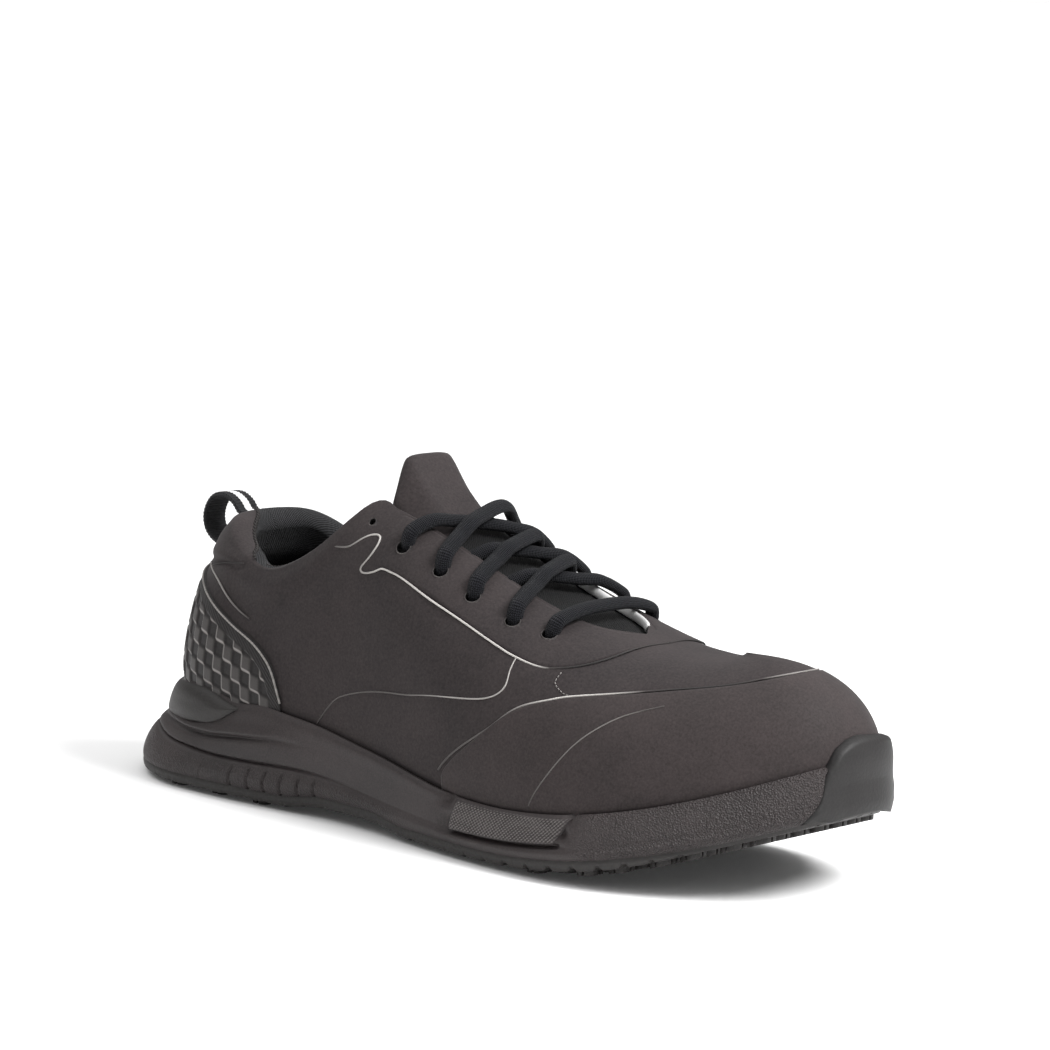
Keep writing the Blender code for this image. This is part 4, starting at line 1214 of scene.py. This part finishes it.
def buildLoop():
    ring = [np.array([x, 0.0, z]) for x, z in loopPlan["ring"]]
    top, low = [[backOf(*spot) for spot in loopPlan[foot]] for foot in ("topFoot", "lowFoot")]
    path, at = alongPath(top + ring + low, loopPlan["step"])
    t = unit(np.gradient(path, axis=0))
    n = np.stack([t[:, 2], np.zeros(len(t)), -t[:, 0]], 1)
    f = np.linspace(-1, 1, 65)
    ribs = loopPlan["ribHigh"] * np.sin(2 * np.pi * at / loopPlan["rib"])[:, None]
    thick = loopPlan["thick"] * (1 - 0.65 * clamp((np.abs(f) - 0.9) / 0.1) ** 2)[None]
    middle = path[:, None] + np.stack([0 * f, loopPlan["half"] * f, 0 * f], 1)[None]
    lift = n[:, None] * (thick + ribs)[..., None]
    stripe = np.abs((f[:-1] + f[1:]) / 2) * loopPlan["half"] < loopPlan["stripe"]
    face = np.tile(stripe.astype(int), len(path) - 1)
    shellPiece("pull_loop_strap", middle + lift, middle - lift, [webbing, paleFilm], face,
               replaced=["pull_loop"], slot="lace_textile")


buildLoop()
print("pull loop made")

# laces: a soft tubular braid from eyelet to eyelet
lacePlan = {"wide": 2.8, "high": 1.9, "lift": 3.1, "turn": 4.2, "dip": 6.5, "step": 0.45, "sides": 22,
            "pinch": 0.18, "barLift": 3.2, "overLift": 5.4, "underLift": 1.6, "hidden": -2.0,
            "medialShift": 3.0}


def overUpper(x, y, off):
    return onUpper(*acrossUpper(x, y, 0.2), off)


def eyeletSpot(k, side):
    x, half = eyeletTable[k]
    return np.array([x, side * half if side < 0 else half - lacePlan["medialShift"]])


def strand(name, start, stop, middle, whole, **more):
    # one run of lace over the throat; a run that is not whole ends under the opposite edge
    v = np.linspace(0, 1, 61)
    x, y = (start[None] + (stop - start)[None] * v[:, None]).T
    inside = smooth((throatAt(x) + 1.0 - np.abs(y)) / 9.0)
    ends = np.where(v < 0.5, lacePlan["lift"], lacePlan["lift"] if whole else lacePlan["hidden"])
    off = ends + (middle - ends) * inside
    run = v * np.linalg.norm(stop - start)
    for left in [run, run[-1] - run] if whole else [run]:
        off = off - lacePlan["dip"] * (1 - np.sin(np.pi / 2 * clamp(left / lacePlan["turn"])))
    points, ups = overUpper(x, y, off)
    path, at = alongPath(points, lacePlan["step"])
    up = unit(columnsAt(np.linspace(0, 1, len(path)), np.linspace(0, 1, len(ups)), ups))
    tight = 1 - lacePlan["pinch"] * bump(at, 3.0)
    if whole:
        tight = tight - lacePlan["pinch"] * bump(at[-1] - at, 3.0)
    tubePiece(name, path, at, up, lacePlan["wide"] * tight, lacePlan["high"] * tight, laceBraid,
              sides=lacePlan["sides"], slot="lace_textile", **more)


def buildLaces():
    strand("lace_bar_braid", eyeletSpot(5, -1), eyeletSpot(5, 1), lacePlan["barLift"], True,
           replaced=["lace_bar"])
    for k, name in ((4, "lace_cross_1"), (3, "lace_cross_2"), (2, "lace_cross_3")):
        whole = k == 2
        x = eyeletTable[k - 1][0]
        edge = float(throatAt(x)) + 1.5
        ends = [eyeletSpot(k - 1, side) if whole else np.array([x + 1.5, side * edge]) for side in (-1, 1)]
        strand(name + "_over", eyeletSpot(k, -1), ends[1], lacePlan["overLift"], whole, replaced=[name])
        strand(name + "_under", eyeletSpot(k, 1), ends[0], lacePlan["underLift"], whole)


buildLaces()
print("laces made")

# edge lines: the pale cut edge of the microfibre, brighter in parts as painted highlight and darker where it
# turns away as painted shade; station x, level, paleness
linePlan = {
    "wide": 0.34, "high": 0.30,
    "eyestay": [
        [103.9, 0.455, 0.55], [110.2, 0.470, 0.62], [114.5, 0.510, 0.75], [118.9, 0.560, 0.9],
        [122.4, 0.580, 0.95], [123.4, 0.560, 0.95], [123.0, 0.520, 0.9], [121.0, 0.460, 0.8],
        [119.0, 0.420, 0.75], [120.6, 0.405, 0.75], [125.4, 0.430, 0.85], [128.5, 0.458, 0.95],
        [133, 0.470, 0.95], [138.6, 0.480, 1.0], [152, 0.490, 1.0], [167.6, 0.510, 1.0], [185, 0.510, 1.0],
        [191.6, 0.512, 1.0], [200, 0.525, 0.85], [206, 0.560, 0.3], [212, 0.620, 0.1], [218.4, 0.740, 0.1],
        [221, 0.890, 0.2], [222.8, 1.0, 0.3]],
    "guard": [
        [167.6, 0.03, 0.53], [187.3, 0.175, 0.56], [198, 0.305, 0.66], [208.4, 0.40, 0.97],
        [216.5, 0.465, 1.0], [231.8, 0.55, 0.75], [249.2, 0.61, 0.15], [268, 0.645, 0.1], [282, 0.68, 0.5],
        [294, 0.70, 0.7]],
    "arc": [
        [191.6, 0.51, 0.85], [191.6, 0.43, 0.85], [191.6, 0.36, 0.85], [185.1, 0.28, 0.8],
        [169.8, 0.21, 0.78], [156.5, 0.16, 0.64], [143.1, 0.12, 0.56], [121, 0.08, 0.55],
        [112.4, 0.06, 0.54], [103.9, 0.02, 0.52]],
    "tab": [
        [30.5, 0.361, 0.75], [44.3, 0.328, 0.75], [54.2, 0.285, 0.66], [62.7, 0.251, 0.58], [69, 0.232, 0.5]],
    # the fold line is kept dark: painted shade in the crease
    "fold": [
        [36.9, 0.359, 0.3], [44.1, 0.368, 0.18], [50, 0.373, 0.15], [55.4, 0.375, 0.18], [60.4, 0.375, 0.3]],
    "link": [[208.4, 0.55], [208.4, 0.49], [212.5, 0.46], [216.5, 0.46]],
    "vamp": [
        [208.4, 0.03, 0.55], [215.5, 0.135, 0.58], [223.0, 0.265, 0.61], [229.0, 0.352, 0.63],
        [234.5, 0.415, 0.61], [240.5, 0.460, 0.56], [248.0, 0.50, 0.52]],
}


def edgeLine(name, knots, side, off, wide):
    knots = np.array(knots, float)
    t = np.linspace(0, len(knots) - 1, 12 * (len(knots) - 1) + 1)
    x, a, share = [column(t) for column in curvesThrough(knots)]
    points, ups = onUpper(side * stationOf(x), clamp(a), off)
    tubePiece(name, points, t, ups, linePlan["wide"] * wide, linePlan["high"], edgeFibre, fade=clamp(share),
              slot="overlay_film")


def stitchRow(name, path, ups, pitch, part, radius, tone, zig=0.0):
    # a row of single stitches along a path, each a short arched thread; zig swings them from side to side
    run = lengthAlong(path)
    v = np.linspace(0, 1, 5)
    points, faces = np.zeros((0, 3)), []
    for k in range(int(run[-1] / pitch)):
        at = k * pitch + pitch * part * v
        p, u = columnsAt(at, run, path), unit(columnsAt(at, run, ups))
        w = unit(np.cross(np.gradient(p, axis=0), u))
        swing = zig * (2 * v - 1) * (1 - 2 * (k % 2))
        p = p + w * swing[:, None] + u * (radius * np.sin(np.pi * v))[:, None]
        thread, loops = tubeGrid(p, u, np.full(len(v), radius), np.full(len(v), radius), 6)
        faces += [[len(points) + c for c in loop] for loop in loops]
        points = np.concatenate([points, thread.reshape(-1, 3)])
    makePiece(name, points, faces, [edgeFibre], fade=np.full(len(points), tone), slot="lace_textile")


def collarPath(key, low, high):
    # part of the collar edge between two stations, on one side or over the back
    ring, points = collarEdges["ring"], collarEdges[key]
    order = np.argsort(ring)
    order = order[(ring[order] > low) & (ring[order] < high)]
    inward = unit(np.array([110.0, 0.0, 60.0]) - points[order])
    return points[order], unit(inward + np.array([0, 0, 0.8]))


def buildLines():
    lines = [  # name, knots, distance from the surface, width
        ["eyestay_edge_", "eyestay", 0.15, 1.0], ["guard_edge_", "guard", 0.15, 1.0],
        ["vamp_edge_", "vamp", panelPlan["thick"], 0.6], ["arc_edge_", "arc", 0.0, 0.75],
        ["tab_edge_", "tab", 0.3, 1.0], ["tab_fold_", "fold", 1.0, 0.7],
    ]
    for side, label in bothSides:
        for name, key, off, wide in lines:
            edgeLine(name + label, linePlan[key], side, off, wide)
        knots = np.array(linePlan["link"])
        points, ups = onUpper(side * stationOf(knots[:, 0]), knots[:, 1], 0.1)
        path = rowsThrough(points[None], 10)[0]
        stitchRow("link_stitches_" + label, path, np.repeat(ups, 10, 0)[:len(path)], 1.3, 0.55, 0.16, 0.72)
        ends = sorted([side * float(stationOf(66)), side * float(stationOf(104))])
        stitchRow("collar_stitches_" + label, *collarPath("crest", *ends), 1.9, 0.6, 0.26, 0.40)
    x = np.linspace(172, 207, 60)
    s = stationOf(x)
    points, ups = onUpper(s, atSpread(s, 1.0, throatAt(x) - 0.4), -0.9)
    tubePiece("throat_binding", points, x, ups, 0.8, 1.6, paleFilm, sides=12, slot="overlay_film")
    stitchRow("collar_overlock", *collarPath("border", -0.275, -0.012), 1.0, 0.9, 0.3, 0.16, 0.9)
    x = np.concatenate([np.linspace(88.2, 16.6, 160), np.linspace(16.6, 88.2, 160)[1:]])
    q = stationOf(x) * np.repeat([-1.0, 1.0], [160, 159])
    points, ups = onUpper(q, atHeight(np.abs(q), counterAt(x) - 0.9), panelPlan["counterThick"] - 0.05)
    i = np.arange(len(q))
    tubePiece("counter_cord", points, i * 0.6, ups, 0.34, 0.36, edgeFibre, fade=0.72 + 0.06 * np.sin(i * 2.1),
              slot="overlay_film")


buildLines()
print("edge lines made")

# eyelets: holes with a rim painted paler on one side and darker on the other as light and shade, painted
# shade inside; the top pair is small and empty
eyeletPlan = {"radius": [1.4, 2.6, 2.6, 2.6, 2.6, 2.6], "sides": 28, "deep": 1.9, "drill": 6.0, "rim": 0.22,
              "rimSides": 36}


def punchEyelets():
    bm = bmesh.new()
    f = np.linspace(0, 2 * np.pi, eyeletPlan["rimSides"] + 1)[:-1]
    f = np.append(f, f[:2])
    for side, label in bothSides:
        for k, r in enumerate(eyeletPlan["radius"]):
            x, y = eyeletSpot(k, side)
            p, n = overUpper(x, y, 0.0)
            turn = Vector(n).to_track_quat("Z", "Y").to_matrix().to_4x4()
            lift = n * (eyeletPlan["drill"] / 2 - eyeletPlan["deep"])
            spot = Matrix.Translation(Vector((p + lift + origin) * mm))
            bmesh.ops.create_cone(bm, cap_ends=True, segments=eyeletPlan["sides"], radius1=r * mm,
                                  radius2=r * mm, depth=eyeletPlan["drill"] * mm, matrix=spot @ turn)
            b = unit(np.cross(n, (0, 0, 1.0)))
            path = p + r * (np.cos(f)[:, None] * b + np.sin(f)[:, None] * np.cross(n, b))
            path = path + n * (panelPlan["thick"] * float(hookLift(x)) - 0.02)
            wide, ups = eyeletPlan["rim"], np.broadcast_to(n, path.shape)
            # painted light and shade: the rim is paler on one side and darker on the other
            tubePiece("eyelet_rim_%d_%s" % (k, label), path, np.arange(float(len(f))), ups, wide, wide * 0.8,
                      edgeFibre, fade=0.38 + 0.16 * np.sin(f), slot="overlay_film")
    data = bpy.data.meshes.new("punch")
    bm.to_mesh(data)
    bm.free()
    data.materials.append(holeDark)
    punch = intoScene("punch", data)
    for piece in (upperPiece, bpy.data.objects["eyestay_panel"]):
        step = piece.modifiers.new("punch", "BOOLEAN")
        step.operation, step.solver, step.object = "DIFFERENCE", "EXACT", punch
        step.material_mode = "TRANSFER"
        bpy.context.view_layer.update()
        result = bpy.data.meshes.new_from_object(piece.evaluated_get(bpy.context.evaluated_depsgraph_get()))
        piece.modifiers.clear()
        piece.data = result
    bpy.data.objects.remove(punch, do_unlink=True)


punchEyelets()
print("eyelets punched")

# studio: a white floor whose far part glows as painted light, a dim room and a bright ceiling, with two soft
# lights
studio = {
    # direction from straight down to straight up, light
    "room": [[0.0, 1.0], [0.505, 1.0], [0.53, 0.16], [0.68, 0.2], [0.82, 1.0], [1.0, 1.4]],
    # x, y, z in metres from the shoe, size, watts
    "lights": [[0.95, 0.2, 1.05, 0.6, 27.0], [-0.45, -0.6, 1.3, 0.8, 2.5]],
    "paper": [0.5, 2.5, 0.03, 0.3],  # glowing paper, painted light that grows with distance: near and far in metres from the shoe, glow near and far
    "reach": 80.0, "floorDrop": 0.0002, "roomStrength": 2.0, "aimHigh": 0.05,
}


def buildStudio():
    data = bpy.data.meshes.new("floor")
    r = studio["reach"]
    data.from_pydata([(-r, -r, 0), (r, -r, 0), (r, r, 0), (-r, r, 0)], [], [(0, 1, 2, 3)])
    paper, tree, shader = startMaterial("white_paper", "#f6f6f6", 0.95, EmissionColor=(1, 1, 1, 1))
    far = add(tree, "ShaderNodeVectorMath", {"operation": "LENGTH"}, i0=objectPlace(tree)).outputs["Value"]
    # painted light: the paper glows more the further it lies from the shoe
    tree.links.new(ranged(tree, far, *studio["paper"]), shader.inputs["Emission Strength"])
    data.materials.append(paper)
    floor = intoScene("floor", data)
    floor.location.z = -studio["floorDrop"]
    world = bpy.data.worlds.new("surround")
    world.use_nodes = True
    tree = world.node_tree
    place = add(tree, "ShaderNodeTexCoord").outputs["Generated"]
    way = add(tree, "ShaderNodeSeparateXYZ", None, Vector=place)
    ramp = add(tree, "ShaderNodeValToRGB", None, i0=maths(tree, "MULTIPLY_ADD", way.outputs["Z"], 0.5, 0.5))
    stops = ramp.color_ramp.elements
    for i, (at, light) in enumerate(studio["room"]):
        stop = stops[i] if i < 2 else stops.new(at)
        stop.position, stop.color = at, (light / 2, light / 2, light / 2, 1)  # half, as the ramp ends at 1
    tree.links.new(ramp.outputs[0], tree.nodes["Background"].inputs["Color"])
    tree.nodes["Background"].inputs["Strength"].default_value = studio["roomStrength"]
    bpy.context.scene.world = world
    for i, (x, y, z, size, watts) in enumerate(studio["lights"]):
        lamp = bpy.data.lights.new("soft_%d" % i, "AREA")
        lamp.shape, lamp.size, lamp.energy = "DISK", size, watts
        holder = intoScene("soft_%d" % i, lamp)
        holder.location = (x, y, z)
        aim = Vector((0, 0, studio["aimHigh"])) - Vector((x, y, z))
        holder.rotation_euler = aim.to_track_quat("-Z", "Y").to_euler()


buildStudio()
bpy.context.scene.view_settings.view_transform = "Standard"
print("studio set")
